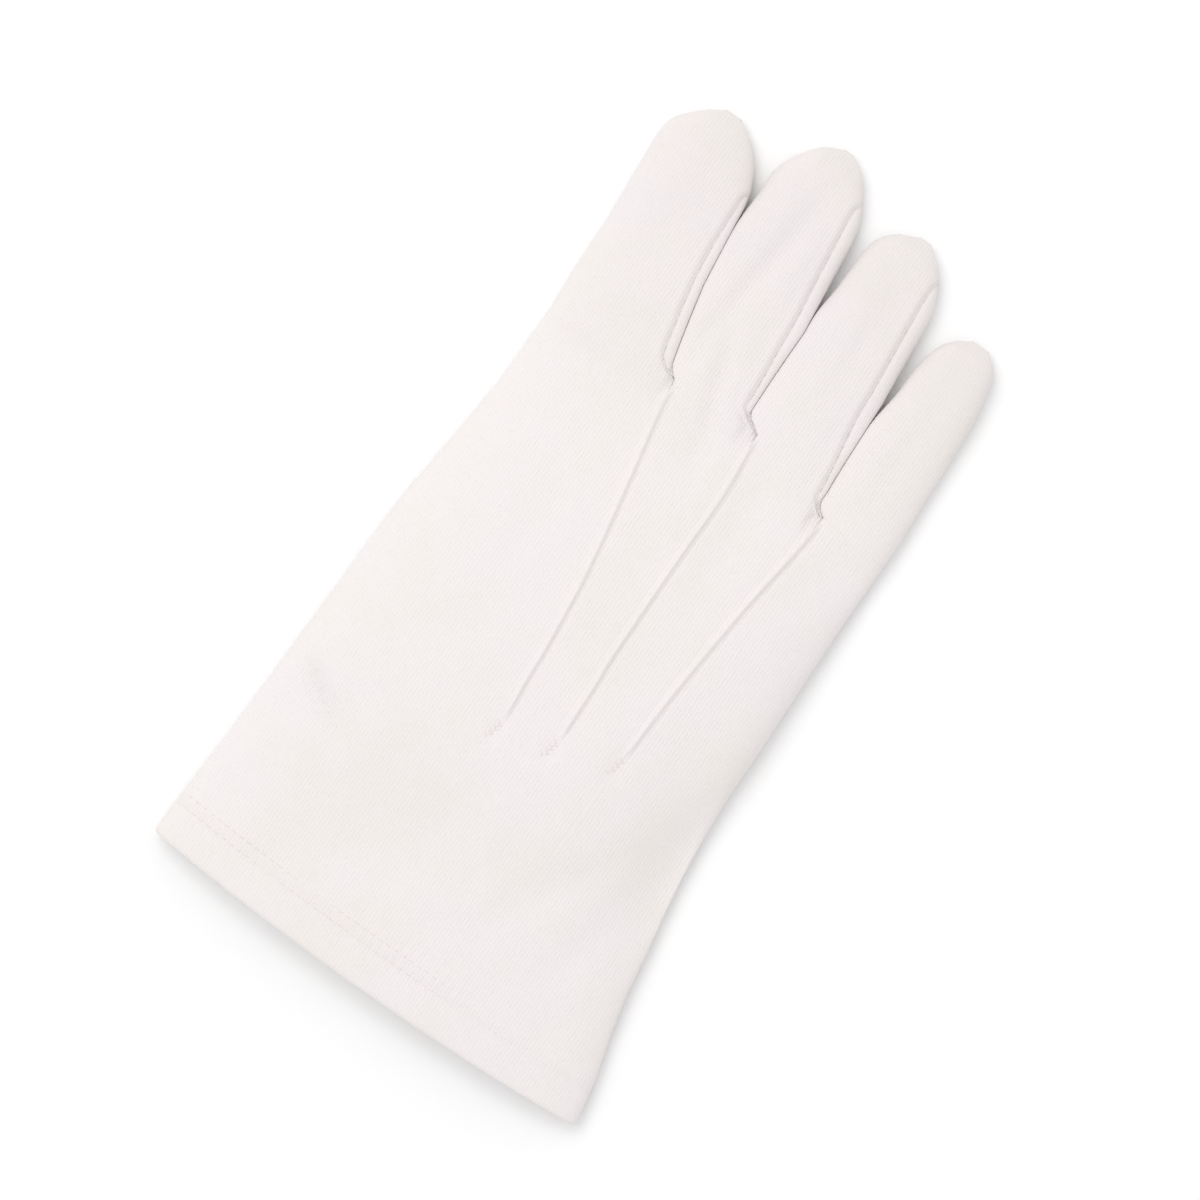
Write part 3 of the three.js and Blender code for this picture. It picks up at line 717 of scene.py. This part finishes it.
def panel_mesh(kind, way, sizes):
    """All columns of the back or the palm, sewn together, looking up (1) or down (-1)."""
    mesh, layer = new_cloth()
    for group in range(4):
        add_panel(mesh, layer, kind, group, sizes)
    weld(mesh)
    turn_faces(mesh, way)
    return mesh


def fill(made, values):
    """Sets a node's own sockets by their names."""
    for key, value in values.items():
        made.inputs[key].default_value = value


def tinted(colour, tint):
    return (*(part * share for part, share in zip(colour, tint)), 1.0)


def new_material(name, values):
    """A material with its shader's own sockets set."""
    material = bpy.data.materials.new(name)
    material.use_nodes = True
    tree = material.node_tree
    shader = tree.nodes["Principled BSDF"]
    fill(shader, values)
    return material, tree, shader


def node(tree, kind, place, **values):
    made = tree.nodes.new(kind)
    made.location = place
    for key, value in values.items():
        setattr(made, key, value)
    return made


def calc(tree, operation, a, b=None, place=(0, 0)):
    """One step of arithmetic, between sockets or with plain numbers."""
    made = node(tree, "ShaderNodeMath", place, operation=operation)
    for socket, value in zip(made.inputs, (a, b)):
        if value is None:
            continue
        if isinstance(value, (int, float)):
            socket.default_value = value
        else:
            tree.links.new(value, socket)
    return made.outputs[0]


def cotton(name, colour, finish, knit=1.0):
    """Knitted cotton: rows of small loops, soft fuzz, a faint unevenness of its white, painted shade in the
    knit's grooves, fingers darker towards their tips.
    """
    values = {
        "Roughness": 0.93,
        "Specular IOR Level": 0.18,
        "Sheen Weight": finish.sheen,
        "Sheen Roughness": 0.6,
        "Sheen Tint": (1.0, 0.99, 0.98, 1.0),
    }
    material, tree, shader = new_material(name, values)
    coordinates = node(tree, "ShaderNodeTexCoord", (-1800, 0))
    split = node(tree, "ShaderNodeSeparateXYZ", (-1600, -300))
    tree.links.new(coordinates.outputs["UV"], split.inputs[0])
    across, along = split.outputs["X"], split.outputs["Y"]
    wale = calc(tree, "DIVIDE", across, finish.knit_pitch, (-1400, -200))
    course = calc(tree, "DIVIDE", along, finish.knit_pitch * ROW_SHARE, (-1400, -400))
    column = calc(tree, "FRACT", wale, None, (-1200, -200))
    beside = calc(tree, "ABSOLUTE", calc(tree, "SUBTRACT", column, 0.5, (-1050, -200)), None, (-900, -200))
    lean = calc(tree, "MULTIPLY", beside, LOOP_LEAN, (-900, -350))
    turns = calc(tree, "MULTIPLY", calc(tree, "ADD", course, lean, (-750, -350)), 2 * math.pi, (-600, -350))
    loops = calc(tree, "SINE", turns, None, (-450, -350))
    doubled = calc(tree, "MULTIPLY", beside, 2.0, (-750, -150))
    groove = calc(tree, "POWER", doubled, GROOVE_CURVE, (-600, -150))
    raised = calc(tree, "MULTIPLY", loops, LOOP_DEPTH, (-300, -350))
    knitted = calc(tree, "SUBTRACT", raised, groove, (-150, -250))
    fuzz = node(tree, "ShaderNodeTexNoise", (-600, -650))
    fill(fuzz, {"Scale": 2600.0, "Detail": 3.0})
    tree.links.new(coordinates.outputs["Object"], fuzz.inputs["Vector"])
    hairs = calc(tree, "MULTIPLY", fuzz.outputs["Fac"], FUZZ_DEPTH, (-300, -650))
    deep = calc(tree, "MULTIPLY", knitted, KNIT_DEPTH * knit, (0, -300))
    height = calc(tree, "ADD", deep, hairs, (150, -400))
    bump = node(tree, "ShaderNodeBump", (300, -400))
    fill(bump, {"Strength": 1.0, "Distance": finish.knit_depth})
    tree.links.new(height, bump.inputs["Height"])
    tree.links.new(bump.outputs["Normal"], shader.inputs["Normal"])
    cloud = node(tree, "ShaderNodeTexNoise", (-900, 300))
    fill(cloud, {"Scale": 38.0, "Detail": 5.0, "Roughness": 0.6})
    tree.links.new(coordinates.outputs["Object"], cloud.inputs["Vector"])
    shades = node(tree, "ShaderNodeValToRGB", (-600, 300))
    low, high = shades.color_ramp.elements
    low.position, high.position = 0.4, 0.6
    low.color, high.color = tinted(colour, CREAM), tinted(colour, COOL_WHITE)
    tree.links.new(cloud.outputs["Fac"], shades.inputs["Fac"])
    # The fingers are coloured darker towards their tips
    fingertip_ramp = node(tree, "ShaderNodeMapRange", (-600, 60))
    fill(fingertip_ramp, {"From Min": DARKER_FROM, "From Max": DARKER_FULL, "To Min": 0.0, "To Max": finish.finger_darkening})
    tree.links.new(along, fingertip_ramp.inputs["Value"])
    # Painted shade: the grooves between the knit's columns are coloured darker
    shade = calc(tree, "MULTIPLY", groove, GROOVE_SHADE * knit, (-400, 100))
    darker = node(tree, "ShaderNodeMix", (-150, 300), data_type="RGBA", blend_type="MULTIPLY")
    factor, first, second = darker.inputs[0], darker.inputs[6], darker.inputs[7]
    tree.links.new(calc(tree, "ADD", shade, fingertip_ramp.outputs["Result"], (-300, 60)), factor)
    tree.links.new(shades.outputs["Color"], first)
    second.default_value = (*GROOVE_SHADE_AND_FINGER_TINT, 1.0)
    tree.links.new(darker.outputs[2], shader.inputs["Base Color"])
    return material


def thread_finish(name, colour):
    """Spun sewing thread: a fine twist round each stitch, with painted shade in the twist's grooves."""
    material, tree, shader = new_material(name, {"Roughness": 0.6, "Sheen Weight": 0.2})
    coordinates = node(tree, "ShaderNodeTexCoord", (-900, 0))
    twist = node(tree, "ShaderNodeTexWave", (-600, 0), wave_type="BANDS", bands_direction="DIAGONAL")
    fill(twist, {"Scale": 1500.0, "Distortion": 1.0})
    tree.links.new(coordinates.outputs["Object"], twist.inputs["Vector"])
    shades = node(tree, "ShaderNodeValToRGB", (-350, 100))
    low, high = shades.color_ramp.elements
    # Painted shade: the twist's grooves are coloured darker
    low.color, high.color = tinted(colour, TWIST_SHADE), (*colour, 1.0)
    tree.links.new(twist.outputs["Fac"], shades.inputs["Fac"])
    tree.links.new(shades.outputs["Color"], shader.inputs["Base Color"])
    bump = node(tree, "ShaderNodeBump", (-300, -300))
    fill(bump, {"Strength": 0.25, "Distance": 0.00004})
    tree.links.new(twist.outputs["Fac"], bump.inputs["Height"])
    tree.links.new(bump.outputs["Normal"], shader.inputs["Normal"])
    return material


def finish_material(context, kind):
    """The material of one kind, made at its first use."""
    name = f"knitted_{kind}"
    made = bpy.data.materials.get(name)
    if made:
        return made
    finish = context.scene.glove_finish
    if kind == "thread":
        return thread_finish(name, finish.thread)
    # The side strips take a darker white and a fainter knit: painted shade where they lie low between the
    # fingers
    if kind == "side":
        return cotton(name, finish.inner, finish, 0.8)
    return cotton(name, finish.cotton, finish)


class GloveSizes(bpy.types.PropertyGroup):
    cloth: bpy.props.FloatProperty(
        name="Cloth", description="Thickness of the knitted cotton", default=0.0009, unit="LENGTH"
    )
    tuck_height: bpy.props.FloatProperty(
        name="Tuck height", description="How far a tuck stands over the back", default=0.0008, unit="LENGTH"
    )
    tuck_width: bpy.props.FloatProperty(
        name="Tuck width", description="Width of a tuck", default=0.0014, unit="LENGTH"
    )
    row_gap: bpy.props.FloatProperty(
        name="Row gap", description="Distance of the two rows of stitches", default=0.0029, unit="LENGTH"
    )
    stitch: bpy.props.FloatProperty(
        name="Stitch", description="Length of a hem stitch", default=0.0016, unit="LENGTH"
    )
    pitch: bpy.props.FloatProperty(
        name="Stitch pitch", description="Distance from one hem stitch to the next",
        default=0.0024, unit="LENGTH"
    )
    thread: bpy.props.FloatProperty(
        name="Thread", description="Thickness of the sewing thread", default=0.0004, unit="LENGTH"
    )
    softness: bpy.props.FloatProperty(
        name="Softness", description="Strength of the cloth's soft waves", default=1.0, subtype="FACTOR"
    )


class GloveFinish(bpy.types.PropertyGroup):
    cotton: bpy.props.FloatVectorProperty(
        name="Cotton", description="Colour of the cloth", default=(0.865, 0.818, 0.812), subtype="COLOR"
    )
    # A little darker than the cotton: painted shade on the side strips between the fingers
    inner: bpy.props.FloatVectorProperty(
        name="Side strips", description="Colour of the side strips",
        default=(0.85, 0.803, 0.797), subtype="COLOR"
    )
    thread: bpy.props.FloatVectorProperty(
        name="Thread", description="Colour of the sewing thread", default=(0.86, 0.81, 0.80), subtype="COLOR"
    )
    floor: bpy.props.FloatVectorProperty(
        name="Floor", description="Colour of the floor", default=(0.96, 0.96, 0.96), subtype="COLOR"
    )
    knit_pitch: bpy.props.FloatProperty(
        name="Knit pitch", description="Width of one column of loops",
        default=0.00095, unit="LENGTH", precision=5
    )
    knit_depth: bpy.props.FloatProperty(
        name="Knit depth", description="Depth of the loops", default=0.00012, unit="LENGTH", precision=5
    )
    sheen: bpy.props.FloatProperty(
        name="Fuzz", description="Strength of the cotton's soft fuzz", default=0.25, subtype="FACTOR"
    )
    # How far the fingers are coloured darker towards their tips
    finger_darkening: bpy.props.FloatProperty(
        name="Darkening", description="How much darker the fingers have become", default=0.5, subtype="FACTOR"
    )
    light: bpy.props.FloatProperty(
        name="Light", description="Strength of the lamp up on the left", default=6.85
    )
    sky: bpy.props.FloatProperty(
        name="Sky", description="Strength of the light from all round", default=0.84
    )


class GLOVE_OT_back(bpy.types.Operator):
    """The back of the hand and of the fingers, with its three tucks"""

    bl_idname = "glove.back"
    bl_label = "Back"

    def execute(self, context):
        sizes = context.scene.glove_sizes
        mesh = panel_mesh("back", 1, sizes)
        piece = finish_piece("back_cloth", mesh, finish_material(context, "body"))
        cut_area("back")
        thicken(piece, sizes.cloth)
        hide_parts("back")
        return {"FINISHED"}


class GLOVE_OT_palm(bpy.types.Operator):
    """The palm side of the hand and of the fingers, draped over the thumb"""

    bl_idname = "glove.palm"
    bl_label = "Palm"

    def execute(self, context):
        sizes = context.scene.glove_sizes
        mesh = panel_mesh("palm", -1, sizes)
        piece = finish_piece("palm_cloth", mesh, finish_material(context, "body"))
        cut_area("palm")
        thicken(piece, sizes.cloth)
        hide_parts("palm")
        return {"FINISHED"}


def add_strip(mesh, layer, i, sizes):
    """One side strip: down the finger on the left of a crotch and up the finger on its right."""
    made, t, s = add_grid(mesh, *STRIP_GRID)
    on_near = s <= 0.5
    run = np.clip(np.abs(s - 0.5) * 2, 0.0, 1.0)
    stop = np.where(on_near, strip_end(i), strip_end(i + 1))
    y = SPLIT_Y[i] + run**STRIP_CROWDING * (stop - SPLIT_Y[i])
    top_near, under_near = strip_right(i, y), under_right(i, y)
    edge_near = mix(tuck_x(i, y), GLOVE_FINGERS[i].sides(y)[1], parted(i, y))
    over = mix(top_near, edge_near, np.sin(np.clip(t * 2, 0.0, 1.0) * math.pi / 2))
    under = mix(edge_near, under_near, 1 - np.cos(np.clip(t * 2 - 1, 0.0, 1.0) * math.pi / 2))
    x_near = np.where(t <= 0.5, over, under)
    z_near = np.where(t <= 0.5, back_height(i, x_near, y, sizes), palm_height(i, x_near, y, sizes))
    top_far, under_far = edge_left(i, y), edge_left(i, y, FOURCHETTE_UNDER)
    x_far = mix(top_far, under_far, 1 - np.cos(t * math.pi / 2))
    top_z = back_height(i + 1, top_far, y, sizes)
    z_far = mix(palm_height(i + 1, x_far, y, sizes), top_z, (1 - np.clip(t * 1.15, 0.0, 1.0)) ** 1.5)
    crotch_z = back_height(i, tuck_x(i, y), np.full_like(y, SPLIT_Y[i]), sizes)
    x = np.where(on_near, x_near, x_far)
    z = mix(mix(crotch_z, 0.25, t), np.where(on_near, z_near, z_far), smooth(run, 0.0, 0.03))
    place_points(made, x, y, z)
    write_uv(layer, made, t * STRIP_WEAVE, np.where(on_near, -1, 1) * (y - SPLIT_Y[i]))


class GLOVE_OT_side_strips(bpy.types.Operator):
    """The three fourchettes, the side strips between the fingers"""

    bl_idname = "glove.side_strips"
    bl_label = "Side strips"

    def execute(self, context):
        sizes = context.scene.glove_sizes
        for i in range(3):
            mesh, layer = new_cloth()
            add_strip(mesh, layer, i, sizes)
            mesh.normal_update()
            upper = [face.calc_center_median().z for face in mesh.faces if face.normal.z > 0.3]
            lower = [face.calc_center_median().z for face in mesh.faces if face.normal.z < -0.3]
            if sum(upper) / max(len(upper), 1) < sum(lower) / max(len(lower), 1):
                bmesh.ops.reverse_faces(mesh, faces=mesh.faces)
            pair = f"{GLOVE_FINGERS[i].name}_{GLOVE_FINGERS[i + 1].name}"
            piece = finish_piece(
                f"fourchette_{pair}_cloth", mesh, finish_material(context, "side")
            )
            thicken(piece, sizes.cloth)
            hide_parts(f"fourchette_{pair}")
        return {"FINISHED"}


class GLOVE_OT_thumb(bpy.types.Operator):
    """The thumb tube, folded flat under the palm"""

    bl_idname = "glove.thumb"
    bl_label = "Thumb"

    def execute(self, context):
        sizes = context.scene.glove_sizes
        mesh, layer = new_cloth()
        made, round_share, place = add_grid(mesh, *THUMB_GRID)
        turn = round_share * 2 * math.pi
        along = mix(place, 0.5 - 0.5 * np.cos(math.pi * place), 0.75) * THUMB_LENGTH
        from_root = np.minimum(1, along / (THUMB_ROOT_WIDTH / 2))
        from_tip = np.minimum(1, (THUMB_LENGTH - along) / (THUMB_TIP_WIDTH / 2))
        full = np.minimum(bulge(1 - from_root, THUMB_END_ROUND), bulge(1 - from_tip, THUMB_END_ROUND))
        half = mix(THUMB_ROOT_WIDTH, THUMB_TIP_WIDTH, along / THUMB_LENGTH) / 2 * full
        across = -half * np.cos(turn)
        share = np.clip(across / np.maximum(half, TINY), -1.0, 1.0)
        upper = np.sin(turn) >= 0
        rise = np.where(upper, bulge(share, THUMB_ROUND), -bulge(share, UNDER_ROUND))
        high = THUMB_HEIGHT / 2 * (1 + rise * np.maximum(full, 0.0) ** 0.6)
        wave = 0.22 * ripple(across, along, 9.0, 4.0) * smooth(np.abs(rise), 0.3, 0.9)
        wave = wave * np.where(upper, 1.0, 0.0) * full
        root_seam = 0.45 * bell(along - THUMB_ROOT_WIDTH * 0.62 - across * 0.25, 0.9) * full
        z = np.clip(high + (wave - root_seam) * np.where(upper, 1.0, -0.4), 0.02, THUMB_HEIGHT)
        c, s = math.cos(THUMB_SLANT), math.sin(THUMB_SLANT)
        x = c * across + s * along + THUMB_MIDDLE
        y = -s * across + c * along + THUMB_FROM_CUFF
        place_points(made, x, y, z)
        write_uv(layer, made, round_share * THUMB_CUT[0] / MM, along)
        weld(mesh)
        piece = finish_piece("thumb_cloth", mesh, finish_material(context, "body"))
        thicken(piece, sizes.cloth)
        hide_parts("thumb")
        return {"FINISHED"}


def hem_point(turn, y, inset, sizes):
    """A point inside the cuff, turn running once round the glove from its left edge."""
    half, middle, high = section(y)
    share = -np.cos(turn)
    x = middle + (half - inset) * share
    rise = bulge(share, HAND_ROUND)
    top = SIDE_HEIGHT + (high - inset - SIDE_HEIGHT) * rise
    top = top + hem_relief(x, y, sizes) * smooth(rise, 0.0, SEWN_FROM_EDGE)
    low = mix(SIDE_HEIGHT, inset, bulge(share, PALM_ROUND))
    return x, y - bow(x, y), np.where(np.sin(turn) >= 0, top, low)


class GLOVE_OT_hem(bpy.types.Operator):
    """The cloth turned in at the cuff"""

    bl_idname = "glove.hem"
    bl_label = "Hem"

    def execute(self, context):
        sizes = context.scene.glove_sizes
        mesh, layer = new_cloth()
        made, round_share, share = add_grid(mesh, *HEM_GRID)
        turn = round_share * 2 * math.pi
        y = mix(HEM_FROM, HEM_LENGTH + HEM_OVER, share)
        inset = HEM_INSIDE + 0.12 * np.sin(turn * 37.0) * smooth(share, 0.7, 1.0)
        place_points(made, *hem_point(turn, y, inset, sizes))
        write_uv(layer, made, round_share * HEM_CUT[0] / MM, y)
        weld(mesh)
        turn_faces(mesh, -1, above=0.006)
        piece = finish_piece("cuff_hem_cloth", mesh, finish_material(context, "body"))
        thicken(piece, sizes.cloth)
        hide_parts("cuff_hem")
        return {"FINISHED"}


def add_stitch(mesh, centre, along, up, length, thickness):
    """One stitch: a small flattened bead of thread sunk into the cloth."""
    made = bmesh.ops.create_uvsphere(mesh, u_segments=6, v_segments=4, radius=0.5)["verts"]
    side = up.cross(along).normalized()
    up = along.cross(side).normalized()
    turn = Matrix((side, up, along)).transposed().to_4x4()
    size = Matrix.Diagonal((thickness, thickness * 0.75, length, 1.0))
    bmesh.ops.transform(mesh, matrix=Matrix.Translation(centre) @ turn @ size, verts=made)


def surface(kind, x, y, sizes):
    """Point on the back or the palm in metres, and the way out of the cloth there."""
    step = 0.2
    group = sum(1 for i in range(3) if x > float(tuck_x(i, np.array(y))))
    xs, ys = np.array([x, x + step, x]), np.array([y, y, y + step])
    z = HEIGHTS[kind](group, xs, ys, sizes)
    out = Vector((-(z[1] - z[0]) / step, -(z[2] - z[0]) / step, 1.0)).normalized()
    shift = float(bow(np.array(x), np.array(y)))
    point = Vector((x * MM, (y - shift - WRIST_FROM_CUFF) * MM, z[0] * MM))
    return point, out if kind == "back" else -out


def add_hem_row(mesh, kind, y, shift, sizes):
    """One row of the hem's stitches over the back or the palm."""
    pitch = sizes.pitch / MM
    half, middle, _ = (float(v) for v in section(np.array(y)))
    reach = half - ROW_MARGIN
    for n in range(int(2 * reach / pitch) + 1):
        x = middle - reach + n * pitch + shift * pitch
        if x > middle + half - STITCH_MARGIN:
            continue
        place, up = surface(kind, x, y, sizes)
        drop = -up.x / max(abs(up.z), 0.2) * (1 if up.z > 0 else -1)
        along = Vector((1, 0, drop)).normalized()
        add_stitch(mesh, place + up * sizes.thread * HEM_STAND, along, up, sizes.stitch, sizes.thread)


def add_tuck_bar(mesh, i, sizes):
    """The bar of slanted stitches at the wrist end of a tuck."""
    low = tuck_ends(i)[0]
    x_end = float(tuck_x(i, np.array(low)))
    for n in range(BAR_COUNT):
        lean = 1 if n % 2 else -1
        x, y = x_end - BAR_SLANT * n + BAR_SPREAD * lean, low - BAR_BELOW - n * BAR_PITCH
        place, up = surface("back", x, y, sizes)
        along = Vector((0.8 * lean, 0.55, 0.0)).normalized()
        add_stitch(mesh, place + up * sizes.thread * BAR_STAND, along, up, BAR_STITCH, sizes.thread * 0.9)


class GLOVE_OT_stitches(bpy.types.Operator):
    """The hem's two rows of stitches, and the bar of stitches at the wrist end of each tuck"""

    bl_idname = "glove.stitches"
    bl_label = "Stitches"

    def execute(self, context):
        sizes = context.scene.glove_sizes
        thread = finish_material(context, "thread")
        mesh = bmesh.new()
        for kind in ("back", "palm"):
            for y, shift in zip(hem_rows(sizes), (0.0, 0.5)):
                add_hem_row(mesh, kind, y, shift, sizes)
        finish_piece("hem_stitches", mesh, thread)
        mesh = bmesh.new()
        for i in range(3):
            add_tuck_bar(mesh, i, sizes)
        finish_piece("tuck_stitches", mesh, thread)
        return {"FINISHED"}


def make_camera(scene):
    """The camera over the glove, turned as the picture shows it."""
    to_sky = Vector((0.0, 0.0, 1.0))
    right = Vector((math.cos(VIEW_TURN), math.sin(VIEW_TURN), 0.0))
    up_flat = Vector((-math.sin(VIEW_TURN), math.cos(VIEW_TURN), 0.0))
    back = to_sky * math.cos(VIEW_TILT) - up_flat * math.sin(VIEW_TILT)
    up = up_flat * math.cos(VIEW_TILT) + to_sky * math.sin(VIEW_TILT)
    data = bpy.data.cameras.new("camera")
    data.lens, data.sensor_width = VIEW_LENS, VIEW_SENSOR
    data.clip_start, data.clip_end = 0.01, 20.0
    camera = bpy.data.objects.new("camera", data)
    turn = Matrix((right, up, back)).transposed().to_4x4()
    distance = VIEW_WIDTH * VIEW_LENS / VIEW_SENSOR
    camera.matrix_world = Matrix.Translation(VIEW_CENTRE + back * distance) @ turn
    scene.collection.objects.link(camera)
    scene.camera = camera


def make_light(scene, finish):
    """A soft box up on the left, and pale light from all round."""
    world = bpy.data.worlds.new("soft_light")
    world.use_nodes = True
    fill(world.node_tree.nodes["Background"], {"Color": (1.0, 1.0, 1.0, 1.0), "Strength": finish.sky})
    scene.world = world
    data = bpy.data.lights.new("soft_box", "AREA")
    data.shape = "RECTANGLE"
    data.size, data.size_y = LAMP_SIZE
    data.energy = finish.light
    lamp = bpy.data.objects.new("soft_box", data)
    lamp.location = LAMP_AIM + LAMP_OFFSET
    lamp.rotation_euler = (-LAMP_OFFSET).to_track_quat("-Z", "Y").to_euler()
    scene.collection.objects.link(lamp)


class GLOVE_OT_stage(bpy.types.Operator):
    """The pale floor, the soft light and the camera"""

    bl_idname = "glove.stage"
    bl_label = "Stage"

    def execute(self, context):
        scene, finish = context.scene, context.scene.glove_finish
        mesh = bmesh.new()
        bmesh.ops.create_grid(mesh, x_segments=1, y_segments=1, size=FLOOR_SIZE)
        bmesh.ops.translate(mesh, verts=mesh.verts, vec=(0.0, 0.0, -FLOOR_DROP))
        values = {"Base Color": (*finish.floor, 1.0), "Roughness": 1.0, "Specular IOR Level": 0.0}
        floor = new_object("floor", mesh, new_material("pale_floor", values)[0])
        make_light(scene, finish)
        make_camera(scene)
        scene.view_settings.view_transform = "Standard"
        return {"FINISHED"}


PIECES = (
    GLOVE_OT_back, GLOVE_OT_palm, GLOVE_OT_side_strips, GLOVE_OT_thumb,
    GLOVE_OT_hem, GLOVE_OT_stitches, GLOVE_OT_stage,
)


class GLOVE_PT_panel(bpy.types.Panel):
    """The pieces of the glove, its sizes and its finish"""

    bl_idname = "GLOVE_PT_panel"
    bl_label = "Cotton glove"
    bl_space_type = "VIEW_3D"
    bl_region_type = "UI"
    bl_category = "Glove"

    def draw(self, context):
        layout = self.layout
        for group in (context.scene.glove_sizes, context.scene.glove_finish):
            box = layout.box()
            for key in group.__annotations__:
                box.prop(group, key)
        for piece in PIECES:
            layout.operator(piece.bl_idname)


CLASSES = (GloveSizes, GloveFinish, *PIECES, GLOVE_PT_panel)


def register():
    for made in CLASSES:
        bpy.utils.register_class(made)
    bpy.types.Scene.glove_sizes = bpy.props.PointerProperty(type=GloveSizes)
    bpy.types.Scene.glove_finish = bpy.props.PointerProperty(type=GloveFinish)


def unregister():
    del bpy.types.Scene.glove_finish
    del bpy.types.Scene.glove_sizes
    for made in reversed(CLASSES):
        bpy.utils.unregister_class(made)


def main():
    register()
    bpy.ops.glove.back()
    bpy.ops.glove.palm()
    bpy.ops.glove.side_strips()
    bpy.ops.glove.thumb()
    bpy.ops.glove.hem()
    bpy.ops.glove.stitches()
    bpy.ops.glove.stage()


if __name__ == "__main__":
    main()
